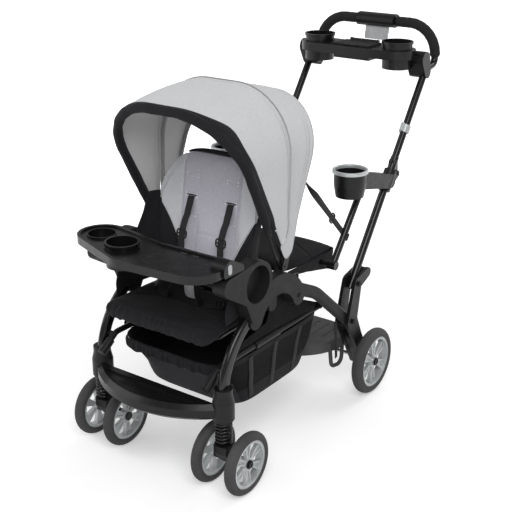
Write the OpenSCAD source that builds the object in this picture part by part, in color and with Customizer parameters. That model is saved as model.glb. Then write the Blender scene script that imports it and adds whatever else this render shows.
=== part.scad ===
// Tandem stroller: a front child seat with canopy and tray, a rear bench with a standing board,
// twin-wheel sprung casters, a folding rear frame and a folding push handle.
// +X is the left side for the person who pushes, -Y is forward, +Z is up, and the wheels stand on z = 0.

/* [Wheels] */
// Diameter of each front caster wheel
front_wheel_d = 174; // [150:1:200]
// Width of a front tyre
front_wheel_w = 29; // [22:1:36]
// Distance between the centre planes of the two wheels of one caster
twin_gap = 108.4; // [96:0.2:120]
// Diameter of each rear wheel
rear_wheel_d = 207; // [180:1:240]
// Width of a rear tyre
rear_wheel_w = 35; // [26:1:40]
// Distance between the rear wheels' centre planes
rear_track = 503.2; // [500:0.2:540]
// Distance from the front axles to the rear axle
wheelbase = 666; // [650:1:690]
// How far each caster's axle trails behind its swivel axis
caster_trail = 24; // [16:1:28]
// Radius of the caster stem
stem_r = 9; // [7:0.5:11]
// Radius of the front axle pins
front_axle_r = 5; // [4:0.5:7]
// Radius of the rear axle
rear_axle_r = 6; // [5:0.5:8]

/* [Springs] */
// Turns in each caster spring
spring_turns = 6; // [4:1:8]
// Radius of the spring wire
spring_wire_r = 3; // [2:0.1:3.4]
// Mean radius of the spring coil
spring_r = 20; // [18:0.5:22]
// Working length of the spring between its two seats
spring_len = 67; // [58:1:72]
// Suspension travel of each caster
suspension_travel = 12; // [6:1:14]

/* [Frame] */
// Distance between the centre planes of the left and right frame tubes
frame_w = 414; // [400:1:430]
// Side width of the oval front legs and rear arches
oval_w = 22; // [18:1:24]
// Depth of the oval front legs
leg_depth = 34; // [28:1:38]
// Depth of the oval rear arches
arch_depth = 36; // [30:1:40]
// Diameter of the upright tubes
upright_d = 24; // [20:1:26]
// Lean of the uprights, back from vertical
rake = 35.2; // [32:0.2:38]
// Height of the handle's folding hinge
hinge_h = 668; // [650:1:690]
// Height of the frame's folding pivot
fold_h = 262; // [255:1:275]
// Forward distance from the rear axle to the frame's folding pivot
fold_ahead = 87; // [78:1:96]
// Radius of the frame's folding pivot pin
fold_pin_r = 6; // [5:0.5:8]

/* [Seats] */
// Height of the seat back's hinge tube
seat_hinge_h = 446; // [440:1:452]
// Recline of the seat back at rest
recline = 9; // [6:0.5:14]
// Length of the seat back from its hinge
back_len = 378; // [350:1:400]
// Half width of the seat back's pad
back_half = 165; // [140:1:172]
// Thickness of the seat cushions
cushion_t = 32; // [24:1:38]
// Height of the rear bench tube
bench_h = 464; // [458:1:470]
// Height of the standing board's top
board_h = 190; // [184:1:196]
// Radius of the standing board's round front
board_r = 181; // [160:1:181.5]

/* [Canopy] */
// Distance of the canopy's pivot behind the front axles
canopy_y = 244; // [238:1:250]
// Height of the canopy's pivot
canopy_h = 542; // [541:1:550]
// Reach of the front bow from the pivot to its crown
canopy_reach = 490; // [460:1:510]
// Angle of the front bow above the backward level line
bow_front = 118; // [110:1:122]
// Angle of the middle bow above the backward level line
bow_mid = 88; // [84:1:92]
// Angle of the rear bow above the backward level line
bow_rear = 68; // [64:1:72]
// Radius of the padded binding on the front bow
binding_r = 13; // [9:0.5:15]
// Thickness of the canopy cloth
cloth_t = 2.4; // [1.6:0.2:3]

/* [Trays] */
// Height of the child tray's rim
tray_h = 628; // [622:1:640]
// Height of the parent console's deck
console_h = 1005; // [1000:1:1012]
// Inside radius of the cup wells in the parent console
cup_r = 42; // [36:1:44]
// Depth of the cup wells in the parent console
cup_depth = 78; // [60:1:84]
// Inside radius of the side cup holders
side_cup_r = 45; // [38:1:46]
// Wall of the moulded trays and cups
wall = 3; // [2.4:0.2:4]

/* [Handle] */
// Diameter of the handle tube
handle_d = 22; // [18:1:24]
// Diameter of the foam grips
grip_d = 32; // [28:1:36]
// Height of the handle's cross bar
handle_h = 1066; // [1060:1:1076]

/* [Fits] */
// Radial clearance of pins that turn or slide
run = 0.05; // [0.02:0.01:0.1]
// Clearance of a piece that is seated on another
seat = 0.3; // [0.2:0.05:0.5]

/* [Hidden] */
$fn = 64;

black_satin = [0.05, 0.05, 0.055];
black_cloth = [0.09, 0.09, 0.10];
charcoal = [0.16, 0.16, 0.17];
grey_cloth = [0.68, 0.69, 0.71];
lilac_cloth = [0.58, 0.57, 0.63];
silver = [0.62, 0.65, 0.66];
rubber = [0.20, 0.20, 0.21];
steel = [0.72, 0.73, 0.75];
red = [0.85, 0.06, 0.12];

// Lateral planes
frame_x = frame_w / 2;
oval_half = oval_w / 2;
hub_inner = frame_x - 17;
hub_outer = frame_x + 21;

// Wheels and casters
front_r = front_wheel_d / 2;
rear_r = rear_wheel_d / 2;
kingpin_x = frame_x + 2;
kingpin_y = -caster_trail;
spring_low = front_r + 53;
spring_high = spring_low + spring_len;
collar_t = 6;
collar_r = spring_r + spring_wire_r + 2;
housing_low = spring_high + collar_t + seat;
housing_h = 48;
housing_r = 29;
stem_top = housing_low + 48;

// Frame pivots in the side view, as [y, z]
fold_p = [wheelbase - fold_ahead, fold_h];
axle_p = [wheelbase, rear_r];
plate_t = 10;
upright_top_y = 998;
upright_top_z = 931;
hinge_p = [upright_top_y - (upright_top_z - hinge_h) * tan(rake), hinge_h];
upright_r = upright_d / 2;
upright_stop = 12;
upright_len = 380;
foot_p = hinge_p - (upright_len - 20) * [sin(rake), cos(rake)];
knob_p = foot_p + [56, 18];
knuckle = 22;
ear_r = 11;
ear_in = 10;
ear_out = 16;
knuckle_pin_r = 4.5;
post_r = 10;
post_low = [493, bench_h];
post_high = [650, bench_h + 203];

// Seat
seat_hinge = [200, seat_hinge_h];
seat_tube_r = 8;
pan_h = seat_hinge_h - 38;
pan_front = 4;
pan_x = 158;
// Shares of a pad's half thickness that its crown reaches beside the middle seam and at the seam
pad_full = 0.93;
pad_seam = 0.875;
cushion_mid = pan_h + seat_tube_r + seat + pad_full * cushion_t / 2;
bench_mid = bench_h + seat_tube_r + seat + pad_full * cushion_t / 2;

// Basket
rail_x = frame_x - 29;
rail_r = 8;
rail_h = 338;
sleeve_t = 3;
basket_top = rail_h - rail_r - sleeve_t - seat;
basket_low = 164;
basket_back = wheelbase - 188;
basket_half_top = rail_x + rail_r;
basket_half_low = 150;
basket_wall = 4;

// Canopy
bow_r = 4;
canopy_p = [canopy_y, canopy_h];
pivot_pin_r = 5;
lug_out = frame_x - 8;
disc_t = 4;
panel_half = frame_x + 9;
shoulder = 172;

// Trays
tray_low = tray_h - 22;
tray_pivot = [frame_x, -10];
tray_pin_r = 8;
arm_top = tray_low - 9;
far_lobe = [-(frame_x - 15), -15, 66];
mid_lobe = [-30, -60, 80];
near_lobe = [150, -52, 74];
tray_cup = [-91, -49, 40];
tray_well = [-(frame_x - 16), -18, 36];
console_cup = [138, 947];
console_end = 56;
lid_half = 62;
lid_back = 984;
lid_front = 908;

// Handle
handle_r = handle_d / 2;
bend_drop = 125.89;
handle_len = (handle_h - bend_drop - hinge_h) / cos(rake);
handle_bend = [frame_x, hinge_p[0] + handle_len * sin(rake), hinge_p[1] + handle_len * cos(rake)];
handle_knee = [frame_x, handle_bend[1] + 58.6, handle_h - 116];
handle_top = [frame_x, handle_knee[1] + 3, handle_h];
handle_path = [
    [frame_x, hinge_p[0], hinge_p[1]], handle_bend, handle_knee, handle_top,
    [-frame_x, handle_top[1], handle_top[2]], [-frame_x, handle_knee[1], handle_knee[2]],
    [-frame_x, handle_bend[1], handle_bend[2]], [-frame_x, hinge_p[0], hinge_p[1]]
];
handle_bends = [25, 22, 92, 92, 22, 25];
pod_half = 66;
pod_d = 48;
pod_h = 40;

// The origin lies midway between the tray's front edge and the back of the handle's pod
front_reach = mid_lobe[1] - mid_lobe[2];
rear_reach = handle_top[1] + pod_d / 2;
origin_y = (front_reach + rear_reach) / 2;

// Plain helpers

function unit(v) = v / norm(v);
function side_dir(a) = [cos(a), sin(a)];
function at_angle(p, r, a) = p + r * side_dir(a);

module placed() translate([0, -origin_y, 0]) children();

module pair() {
    children();
    mirror([1, 0, 0]) children();
}

// Extrudes a side-view outline, drawn in y and z, from one lateral plane to another
module side(x_from, x_to) {
    translate([x_from, 0, 0]) rotate([90, 0, 90]) linear_extrude(x_to - x_from) children();
}

// A bar with round ends of two radii; slack draws its straight sides a hair inside the ends' tangents
module link(p, q, rp, rq, slack = 0) {
    along = atan2(q[1] - p[1], q[0] - p[0]);
    lean = acos((rp - rq) / norm(q - p));
    translate(p) circle(rp);
    translate(q) circle(rq);
    polygon([at_angle(p, rp - slack, along + lean), at_angle(p, rp - slack, along - lean),
        at_angle(q, rq - slack, along - lean), at_angle(q, rq - slack, along + lean)]);
}

// A cylinder along X between two lateral planes, at a side-view point
module cross_rod(x_from, x_to, p, r) {
    translate([x_from, p[0], p[1]]) rotate([0, 90, 0]) cylinder(h = x_to - x_from, r = r);
}

module oval(w, h) {
    for (s = [-1, 1]) translate([0, s * (h - w) / 2]) circle(d = w);
    square([w, h - w], center = true);
}

function frame_of(x_dir, y_dir, z_dir, p) = [
    [x_dir[0], y_dir[0], z_dir[0], p[0]],
    [x_dir[1], y_dir[1], z_dir[1], p[1]],
    [x_dir[2], y_dir[2], z_dir[2], p[2]],
    [0, 0, 0, 1]
];

function corner_turn(a, b, c) = acos(max(-1, min(1, unit(b - a) * unit(c - b))));
function corner_cut(pts, bends, i) =
    i == 0 || i == len(pts) - 1 ? 0 : bends[i - 1] * tan(corner_turn(pts[i - 1], pts[i], pts[i + 1]) / 2);

// Bends are drawn a hair thinner than the straight runs, which reach a little way into them
ease = 0.03;
lap_in = 0.6;

// The straight run from point i, and the bend at point i, of a path with one bend radius for each corner
module straight(pts, bends, i, wide) {
    d = unit(pts[i + 1] - pts[i]);
    last = len(pts) - 2;
    start = pts[i] + d * (corner_cut(pts, bends, i) - (i == 0 ? 0 : lap_in));
    finish = pts[i + 1] - d * (corner_cut(pts, bends, i + 1) - (i == last ? 0 : lap_in));
    multmatrix(frame_of(wide, cross(d, wide), d, start)) linear_extrude(norm(finish - start)) children();
}

module bend(pts, bends, i) {
    before = unit(pts[i] - pts[i - 1]);
    after = unit(pts[i + 1] - pts[i]);
    inward = unit(after - before * (after * before));
    centre = pts[i] - before * corner_cut(pts, bends, i) + inward * bends[i - 1];
    multmatrix(frame_of(-inward, before, cross(-inward, before), centre))
        rotate_extrude(angle = corner_turn(pts[i - 1], pts[i], pts[i + 1]))
            translate([bends[i - 1], 0]) children();
}

// A round tube through points in space
module round_run(pts, bends, r) {
    for (i = [0 : len(pts) - 2]) {
        d = unit(pts[i + 1] - pts[i]);
        straight(pts, bends, i, unit(cross(d, abs(d[0]) > 0.9 ? [0, 0, 1] : [1, 0, 0]))) circle(r);
    }
    if (len(pts) > 2) for (i = [1 : len(pts) - 2]) bend(pts, bends, i) circle(r - ease);
}

// An oval tube in one lateral plane, through side-view points
module oval_run(x, pts, bends, w, h) {
    path = [for (p = pts) [x, p[0], p[1]]];
    for (i = [0 : len(path) - 2]) straight(path, bends, i, [1, 0, 0]) oval(w, h);
    for (i = [1 : len(path) - 2]) bend(path, bends, i) rotate(90) oval(w - 2 * ease, h - 2 * ease);
}

// A closed skin over rings of equal count, with both ends closed
module skin(rings) {
    n = len(rings[0]);
    m = len(rings);
    middle = function(ring) [for (k = [0 : 2]) [for (p = ring) p[k]] * [for (p = ring) 1] / n];
    walls = [for (i = [0 : m - 2]) for (j = [0 : n - 1]) each [
        [i * n + j, i * n + (j + 1) % n, (i + 1) * n + j],
        [i * n + (j + 1) % n, (i + 1) * n + (j + 1) % n, (i + 1) * n + j]]];
    ends = [for (j = [0 : n - 1]) each [
        [m * n, (j + 1) % n, j],
        [m * n + 1, (m - 1) * n + j, (m - 1) * n + (j + 1) % n]]];
    polyhedron(concat([for (ring = rings) each ring], [middle(rings[0]), middle(rings[m - 1])]),
        concat(walls, ends), convexity = 6);
}

// Pads: a station is [y, z, lean, half width, half thickness, forward curl of the edges]

pad_points = 28;
function power(v, e) = sign(v) * pow(abs(v), e);
function pad_ring(s) = [for (i = [0 : pad_points - 1])
    let (a = -360 * i / pad_points, across = power(cos(a), 0.55),
        crown = s[4] * power(sin(a), 0.7) * (1 - 0.28 * across * across),
        seam = -0.14 * s[4] * exp(-pow(across * 9, 2)) * sign(crown),
        lift = crown + seam + s[5] * pow(across, 4))
    [s[3] * across, s[0] + lift * cos(s[2]), s[1] + lift * sin(s[2])]];
module pad(stations) skin([for (s = stations) pad_ring(s)]);

// Front frame

leg_path = [[116, 461], [4, 404], [kingpin_y - 2, housing_low + 67]];
leg_bend = 215;
arch_path = [[272, 474], fold_p + [-174, 148], fold_p];
arch_bends = [160];
hub_centre = [101, tray_h - 84];
hub_ring = 62;
hub_recess = 50;
hub_tip = [95, 458];
band_centre = [200, 400];
band_in = 80;
band_out = 134;
band_mid = (band_in + band_out) / 2;
eye_r = 20;
eye_half = oval_half - 0.2;

module front_legs() {
    color(black_satin) placed() pair()
        oval_run(frame_x, leg_path, [leg_bend], oval_w, leg_depth);
}

module arch_band() {
    ends = [24, 156];
    far = 2 * band_out;
    for (a = ends) translate(at_angle(band_centre, band_mid, a)) circle(band_mid - band_in - ease);
    translate(band_centre) difference() {
        intersection() {
            circle(band_out);
            polygon([[0, 0], far * side_dir(ends[0]), far * side_dir(90), far * side_dir(ends[1])]);
        }
        circle(band_in);
    }
}

module hub_core() {
    difference() {
        union() {
            side(hub_inner, hub_outer) {
                link(hub_centre, [-14, arm_top - 25], hub_ring, 25);
                link(hub_centre, hub_tip, hub_ring, 22);
            }
            side(frame_x - 16, frame_x + 16) arch_band();
            side(hub_inner, hub_inner + 14) link(seat_hinge, [seat_hinge[0], 500], 18, 22);
            side(hub_inner, lug_out) link(canopy_p, [canopy_y - 12, 512], 14, 18);
            cross_rod(lug_out - 1, lug_out + 3 * (disc_t + seat) + 1, canopy_p, pivot_pin_r);
        }
        cross_rod(hub_outer - 32, hub_outer + 1, hub_centre, hub_recess);
        cross_rod(hub_inner - 1, hub_inner + 8, seat_hinge, seat_tube_r + run);
        oval_run(frame_x, leg_path, [leg_bend], oval_w + seat, leg_depth + seat);
        oval_run(frame_x, arch_path, arch_bends, oval_w + seat, arch_depth + seat);
    }
}

module hub_left() {
    color(charcoal) placed() {
        hub_core();
        translate([tray_pivot[0], tray_pivot[1], arm_top - 10]) cylinder(h = 46, r = tray_pin_r);
    }
}

module hub_right() {
    color(charcoal) placed() {
        mirror([1, 0, 0]) hub_core();
        translate([-tray_pivot[0], tray_pivot[1], arm_top - 10])
            cylinder(h = tray_low - arm_top + 10 - seat, r = 14);
    }
}

module arch_tubes() {
    color(charcoal) placed() pair() difference() {
        union() {
            oval_run(frame_x, arch_path, arch_bends, oval_w, arch_depth);
            cross_rod(frame_x - eye_half, frame_x + eye_half, fold_p, eye_r);
        }
        cross_rod(frame_x - oval_w, frame_x + oval_w, fold_p, fold_pin_r + run);
    }
}

module caster_housings() {
    color(black_satin) placed() pair() difference() {
        union() {
            translate([kingpin_x, kingpin_y, housing_low]) cylinder(h = housing_h, r = housing_r);
            translate([kingpin_x, kingpin_y, housing_low + housing_h - 1])
                cylinder(h = 22, r1 = housing_r, r2 = housing_r - 5);
            translate([kingpin_x, kingpin_y, housing_low + housing_h + 20])
                cylinder(h = 18, r = housing_r - 5);
        }
        translate([kingpin_x, kingpin_y, housing_low - 1])
            cylinder(h = stem_top - housing_low + 3, r = stem_r + run);
        oval_run(frame_x, leg_path, [leg_bend], oval_w + seat, leg_depth + seat);
    }
}

// The footrest is a crescent pan between the caster housings
rest_front = -134;
rest_back = -42;
rest_low = housing_low + 3;
rest_high = rest_low + 42;
rest_floor = rest_high - 5;
rest_bevel = 9;
rest_lip = 12;
rest_r = (pow(kingpin_x + 16, 2) + pow(rest_front + 29, 2)) / (2 * abs(rest_front + 29));

module rest_outline(inset) {
    intersection() {
        translate([0, rest_front + rest_r]) circle(rest_r - inset, $fn = 128);
        translate([-kingpin_x, rest_front]) square([2 * kingpin_x, rest_back - rest_front - inset]);
    }
}

module rest_body() {
    intersection() {
        translate([0, rest_front + rest_r, 0]) rotate_extrude($fn = 128) polygon([
            [0, rest_low], [rest_r - rest_bevel, rest_low], [rest_r, rest_low + rest_bevel],
            [rest_r, rest_high - rest_lip], [rest_r - rest_lip, rest_high], [0, rest_high]]);
        translate([-kingpin_x, rest_front, rest_low - 1])
            cube([2 * kingpin_x, rest_back - rest_front, rest_high - rest_low + 2]);
    }
}

module rest_rib(x, i) {
    translate([x, -68 - 9 * i, rest_floor - 1]) linear_extrude(2.6) rotate(-90) oval(3, 46 + 9 * i);
}

module footrest() {
    color(black_satin) placed() {
        difference() {
            rest_body();
            translate([0, 0, rest_floor]) linear_extrude(rest_high) rest_outline(rest_lip + 8);
            translate([0, 0, rest_low - 1]) linear_extrude(rest_floor - rest_low - wall + 1)
                rest_outline(wall + rest_bevel);
            pair() translate([kingpin_x, kingpin_y, rest_low - 1]) cylinder(h = 60, r = housing_r + seat);
        }
        for (i = [0 : 3]) rest_rib(66 - 3 * i, i);
        for (i = [0 : 2]) rest_rib(-66 + 3 * i, i);
    }
}

// Basket and rails

rail_path = [[rail_x, -52, rail_h - 36], [rail_x, 2, rail_h], [rail_x, basket_back - 6, rail_h]];
collar_len = 46;

module basket_rails() {
    d = unit(rail_path[1] - rail_path[0]);
    sleeve_from = 152;
    sleeve_len = 110;
    color(black_satin) placed() pair() {
        round_run(rail_path, [26], rail_r);
        cross_rod(rail_x, frame_x - oval_half - seat, [-6, rail_h - 4], 7);
        cross_rod(rail_x, frame_x - oval_half - seat, [basket_back - 23, rail_h + 9], 7);
        multmatrix(frame_of([1, 0, 0], cross(d, [1, 0, 0]), d, rail_path[0] - 8 * d))
            cylinder(h = collar_len, r = rail_r + 4);
        translate([rail_x, sleeve_from, rail_h]) rotate([-90, 0, 0])
            cylinder(h = sleeve_len, r = rail_r + sleeve_t);
    }
}

// Rings of the basket from its hem down to its floor: [height, front, back, half width]
basket_rings = [
    [basket_top, 4, basket_back, basket_half_top],
    [basket_top - 24, 20, basket_back - 2, basket_half_top - 4],
    [basket_low + 74, 64, basket_back - 20, basket_half_low + 24],
    [basket_low + 14, 96, basket_back - 55, basket_half_low + 16],
    [basket_low, 108, basket_back - 65, basket_half_low + 5]
];
ring_points = 32;
squareness = 0.34;
function basket_ring(r, inset, lift) = [for (i = [0 : ring_points - 1])
    let (a = -360 * i / ring_points, half_y = (r[2] - r[1]) / 2 - inset)
    [(r[3] - inset) * power(cos(a), squareness), (r[1] + r[2]) / 2 + half_y * power(sin(a), squareness),
        r[0] + lift]];

module basket() {
    last = len(basket_rings) - 1;
    floor_ring = basket_rings[last];
    small = [floor_ring[0] - 5, 230, 300, 40];
    color(black_cloth) placed() skin(concat(
        [basket_ring(small, 0, 0)],
        [for (i = [last : -1 : 0]) basket_ring(basket_rings[i], 0, 0)],
        [for (i = [0 : last]) basket_ring(basket_rings[i], basket_wall, i == 0 ? 0 : basket_wall)],
        [basket_ring(small, 0, basket_wall)]));
}

// Front seat

module seat_frame() {
    color(steel) placed() {
        cross_rod(-hub_inner - 7, hub_inner + 7, seat_hinge, seat_tube_r);
        round_run([
            [pan_x, seat_hinge[0], seat_hinge[1]], [pan_x, seat_hinge[0], pan_h],
            [pan_x, pan_front, pan_h], [-pan_x, pan_front, pan_h],
            [-pan_x, seat_hinge[0], pan_h], [-pan_x, seat_hinge[0], seat_hinge[1]]
        ], [16, 30, 30, 16], seat_tube_r);
    }
}

module seat_cushion() {
    t = cushion_t / 2;
    z = cushion_mid;
    wide = hub_inner - 5;
    color(black_cloth) placed() pad([
        [seat_hinge[0] - seat_tube_r - 3, z, 90, wide - 24, t * 0.4, 0],
        [seat_hinge[0] - seat_tube_r - 12, z, 90, wide - 8, t * 0.9, 0],
        [140, z, 90, wide, t, 0], [80, z, 90, wide, t, 0], [24, z, 90, wide + 3, t, 0],
        [0, z, 90, wide + 4, t, 0], [-16, z - 3, 104, wide + 5, t, 0],
        [-30, z - 10, 128, wide + 3, t * 0.94, 0], [-38, z - 20, 158, wide - 4, t * 0.7, 0],
        [-37, z - 29, 188, wide - 14, t * 0.42, 0], [-33, z - 33, 206, wide - 28, t * 0.18, 0]
    ]);
}

module on_back() {
    translate([0, seat_hinge[0], seat_hinge[1]]) rotate([-recline, 0, 0]) children();
}

board_t = 6;
back_half_t = 15;
pad_offset = board_t / 2 + seat + back_half_t;
slot_x = 62;
slot_up = 0.68 * back_len;
board_half = back_half - 25;

module seat_back_board() {
    color(charcoal) placed() on_back() difference() {
        union() {
            translate([0, board_t / 2, 0]) rotate([90, 0, 0]) linear_extrude(board_t) {
                translate([-board_half, 11]) square([2 * board_half, back_len - 99]);
                link([-board_half / 2, back_len - 90], [board_half / 2, back_len - 90],
                    board_half / 2, board_half / 2);
            }
            for (s = [-1, 1]) cross_rod(s * 80 - 22, s * 80 + 22, [0, 0], seat_tube_r + 6);
        }
        for (s = [-1, 1]) cross_rod(s * 80 - 23, s * 80 + 23, [0, 0], seat_tube_r + run);
        for (s = [-1, 1]) translate([s * slot_x, 0, slot_up]) cube([36, 40, 9], center = true);
    }
}

function back_station(d, half, t, curl) =
    let (u = [sin(recline), cos(recline)], n = [-cos(recline), sin(recline)],
        p = seat_hinge + d * u + pad_offset * n)
    [p[0], p[1], 180 - recline, half, t, curl];

module seat_back_pad() {
    t = back_half_t;
    color(lilac_cloth) placed() difference() {
        pad([
            back_station(back_len - 6, back_half - 84, t * 0.5, 0),
            back_station(back_len - 28, back_half - 48, t * 0.9, 8),
            back_station(back_len - 66, back_half - 18, t, 20),
            back_station(back_len - 118, back_half - 2, t, 30),
            back_station(190, back_half, t, 34), back_station(110, back_half - 4, t, 30),
            back_station(46, back_half - 14, t * 0.9, 16), back_station(34, back_half - 40, t * 0.4, 4)
        ]);
        on_back() for (s = [-1, 1]) translate([s * slot_x, 0, slot_up]) cube([34, 120, 8], center = true);
    }
}

module shoulder_belts() {
    belt_t = 2.4;
    belt_w = 26;
    face = pad_offset + back_half_t + 1.6;
    color(black_cloth) placed() on_back() for (s = [-1, 1]) translate([s * slot_x, 0, 0]) {
        translate([-belt_w / 2, -face - belt_t, 92]) cube([belt_w, belt_t, slot_up - 92 + belt_t / 2]);
        translate([-belt_w / 2, -face - 1, slot_up - belt_t / 2]) cube([belt_w, face + 7, belt_t]);
        translate([0, -face + 0.2, 142]) rotate([90, 0, 0]) linear_extrude(6) difference() {
            union() {
                translate([0, -10]) rotate(90) oval(12, 36);
                translate([0, 10]) rotate(90) oval(12, 36);
                square([36, 20], center = true);
            }
            for (u = [-6, 6]) translate([0, u]) square([22, 3], center = true);
        }
    }
}

strap_y = 112;
strap_low = cushion_mid + pad_seam * cushion_t / 2 + seat;
buckle_low = strap_low + 52;

module crotch_strap() {
    color(grey_cloth) placed() pad([
        [strap_y, buckle_low - seat, 180, 15, 2.4, 0], [strap_y, strap_low + 46, 180, 20, 5, 0],
        [strap_y, strap_low + 26, 180, 24, 7, 0], [strap_y, strap_low + 6, 180, 22, 6, 0],
        [strap_y, strap_low, 180, 16, 4, 0]
    ]);
}

module harness_buckle() {
    color(black_satin) placed() translate([0, strap_y + 8, buckle_low]) rotate([90, 0, 0]) {
        linear_extrude(15) {
            link([0, 14], [0, 30], 14, 21);
            link([-15, 34], [15, 34], 9, 9);
        }
        translate([0, 28, 0]) cylinder(h = 17, r = 10);
    }
}

// Rear bench

module bench_frame() {
    bench_x = 148;
    bench_start = 338;
    bench_end = 558;
    level = 0.8;
    brace_r = seat_tube_r - level;
    leg_y = 395;
    leg_z = bench_h - 58;
    reach = frame_x - post_r - 2 - seat;
    color(steel) placed() {
        round_run([
            [bench_x, bench_end, bench_h], [bench_x, bench_start, bench_h],
            [-bench_x, bench_start, bench_h], [-bench_x, bench_end, bench_h]
        ], [30, 30], seat_tube_r);
        cross_rod(-bench_x, bench_x, [bench_end - 12, bench_h + level], brace_r);
        cross_rod(-reach, reach, [post_low[0], bench_h + level], brace_r);
        pair() round_run([
            [frame_x - oval_half - seat, leg_y, leg_z], [bench_x, leg_y, leg_z], [bench_x, leg_y, bench_h]
        ], [16], brace_r);
    }
}

module bench_seat() {
    t = cushion_t / 2;
    z = bench_mid;
    color(black_cloth) placed() pad([
        [562, z, 90, 132, t * 0.35, 0], [552, z, 90, 150, t * 0.85, 0], [510, z, 90, 164, t, 0],
        [440, z, 90, 168, t, 0], [380, z, 90, 166, t, 0], [330, z, 90, 152, t * 0.85, 0],
        [322, z, 90, 132, t * 0.35, 0]
    ]);
}

// Canopy

arm_len = 110;
lap = cloth_t + 1;
mid_top = canopy_reach - 26;
rear_top = mid_top - lap;
rear_half = panel_half - lap;
sag = 3;
hoop_half = rear_half - cloth_t - seat - bow_r;
hoop_top = rear_top - sag - cloth_t - seat - bow_r;
front_half = panel_half - 5;

function arm_plane(k) = lug_out + seat + k * (disc_t + seat);

module bow_frame(a) translate([0, canopy_y, canopy_h]) rotate([a - 90, 0, 0]) children();

function bow_path(low_half, half, top) = [
    [low_half, 0, arm_len], [half, 0, top], [-half, 0, top], [-low_half, 0, arm_len]];

module bow(k, low_half, half, top) {
    pair() difference() {
        side(arm_plane(k), arm_plane(k) + disc_t) link([0, 0], [0, arm_len], 12, 7);
        cross_rod(arm_plane(k) - 1, arm_plane(k) + disc_t + 1, [0, 0], pivot_pin_r + run);
    }
    round_run(bow_path(low_half, half, top), [shoulder, shoulder], bow_r);
}

module canopy_rear_bow() {
    color(steel) placed() bow_frame(bow_rear) bow(2, hoop_half, hoop_half, hoop_top);
}

module canopy_mid_bow() {
    color(steel) placed() bow_frame(bow_mid) bow(1, hoop_half, hoop_half, hoop_top);
}

module canopy_front_bow() {
    color(steel) placed() bow_frame(bow_front) bow(0, arm_plane(0) + disc_t / 2, front_half, canopy_reach);
}

module canopy_binding() {
    path = bow_path(arm_plane(0) + disc_t / 2, front_half, canopy_reach);
    start = path[0] + 9 * unit(path[1] - path[0]);
    short = [start, path[1], path[2], [-start[0], start[1], start[2]]];
    color(black_cloth) placed() bow_frame(bow_front) difference() {
        round_run(short, [shoulder, shoulder], binding_r);
        round_run(path, [shoulder, shoulder], bow_r + seat);
    }
}

// Points across an arch as [x, reach from the pivot axis], from the left hem over the crown to the right
arc_steps = 8;
function arch_half(half, top, low) = concat(
    [[half, low], [half, (low + top - shoulder) / 2]],
    [for (i = [0 : arc_steps]) let (a = 90 * i / arc_steps)
        [half - shoulder + shoulder * cos(a), top - shoulder + shoulder * sin(a)]]);
function arch(half, top, low) = let (h = arch_half(half, top, low))
    concat(h, [for (i = [len(h) - 1 : -1 : 0]) [-h[i][0], h[i][1]]]);
function swung(p, a) = [p[0], canopy_y + p[1] * cos(a), canopy_h + p[1] * sin(a)];

// A cloth shell over arches, each given as an outer row and an inner row of points
module arch_shell(outer, inner) {
    m = len(outer);
    n = len(outer[0]);
    k = 2 * n;
    rows = [for (j = [0 : m - 1]) concat(outer[j], [for (i = [n - 1 : -1 : 0]) inner[j][i]])];
    walls = [for (j = [0 : m - 2]) for (i = [0 : k - 1]) each [
        [j * k + i, j * k + (i + 1) % k, (j + 1) * k + i],
        [j * k + (i + 1) % k, (j + 1) * k + (i + 1) % k, (j + 1) * k + i]]];
    last = (m - 1) * k;
    ends = [for (i = [0 : n - 2]) each [
        [i + 1, i, k - 1 - i], [i + 1, k - 1 - i, k - 2 - i],
        [last + i, last + i + 1, last + k - 1 - i], [last + i + 1, last + k - 2 - i, last + k - 1 - i]]];
    polyhedron([for (row = rows) each row], concat(walls, ends), convexity = 8);
}

module canopy_front_panel() {
    low = 62;
    steps = 6;
    edge = function(r) bow_front - asin((binding_r + seat) / r);
    top = function(t) mid_top + 32 * pow(t, 1.3) - sag * sin(180 * t);
    row = function(t, inset) [for (p = arch(panel_half - inset, top(t) - inset, low))
        swung(p, bow_mid + t * (edge(p[1]) - bow_mid))];
    color(grey_cloth) placed() arch_shell(
        [for (i = [steps : -1 : 0]) row(i / steps, 0)],
        [for (i = [steps : -1 : 0]) row(i / steps, cloth_t)]);
}

module canopy_rear_panel() {
    low = arm_len + 10;
    steps = 4;
    top = function(t) rear_top - sag * sin(180 * t);
    row = function(t, inset) [for (p = arch(rear_half - inset, top(t) - inset, low))
        swung(p, bow_rear - 2 + t * (bow_mid - bow_rear + 2))];
    color(grey_cloth) placed() arch_shell(
        [for (i = [steps : -1 : 0]) row(i / steps, 0)],
        [for (i = [steps : -1 : 0]) row(i / steps, cloth_t)]);
}

// Child tray

module lobes(a, b, inset) link([a[0], a[1]], [b[0], b[1]], a[2] - inset, b[2] - inset, ease);

module tray_outline(inset) {
    lobes(far_lobe, mid_lobe, inset);
    lobes(mid_lobe, near_lobe, inset);
}

module well(c, z, h, r) translate([c[0], c[1], z]) cylinder(h = h, r = r);

release_p = [-20, tray_low + 18];
release_depth = 8;
tray_face = frame_x + 23;

module tray_end() {
    difference() {
        side(frame_x - 19, tray_face) link([-16, tray_low + 14], [24, tray_low + 4], 26, 15);
        translate([0, -100, tray_low - 101]) cube([400, 200, 100]);
    }
}

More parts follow.
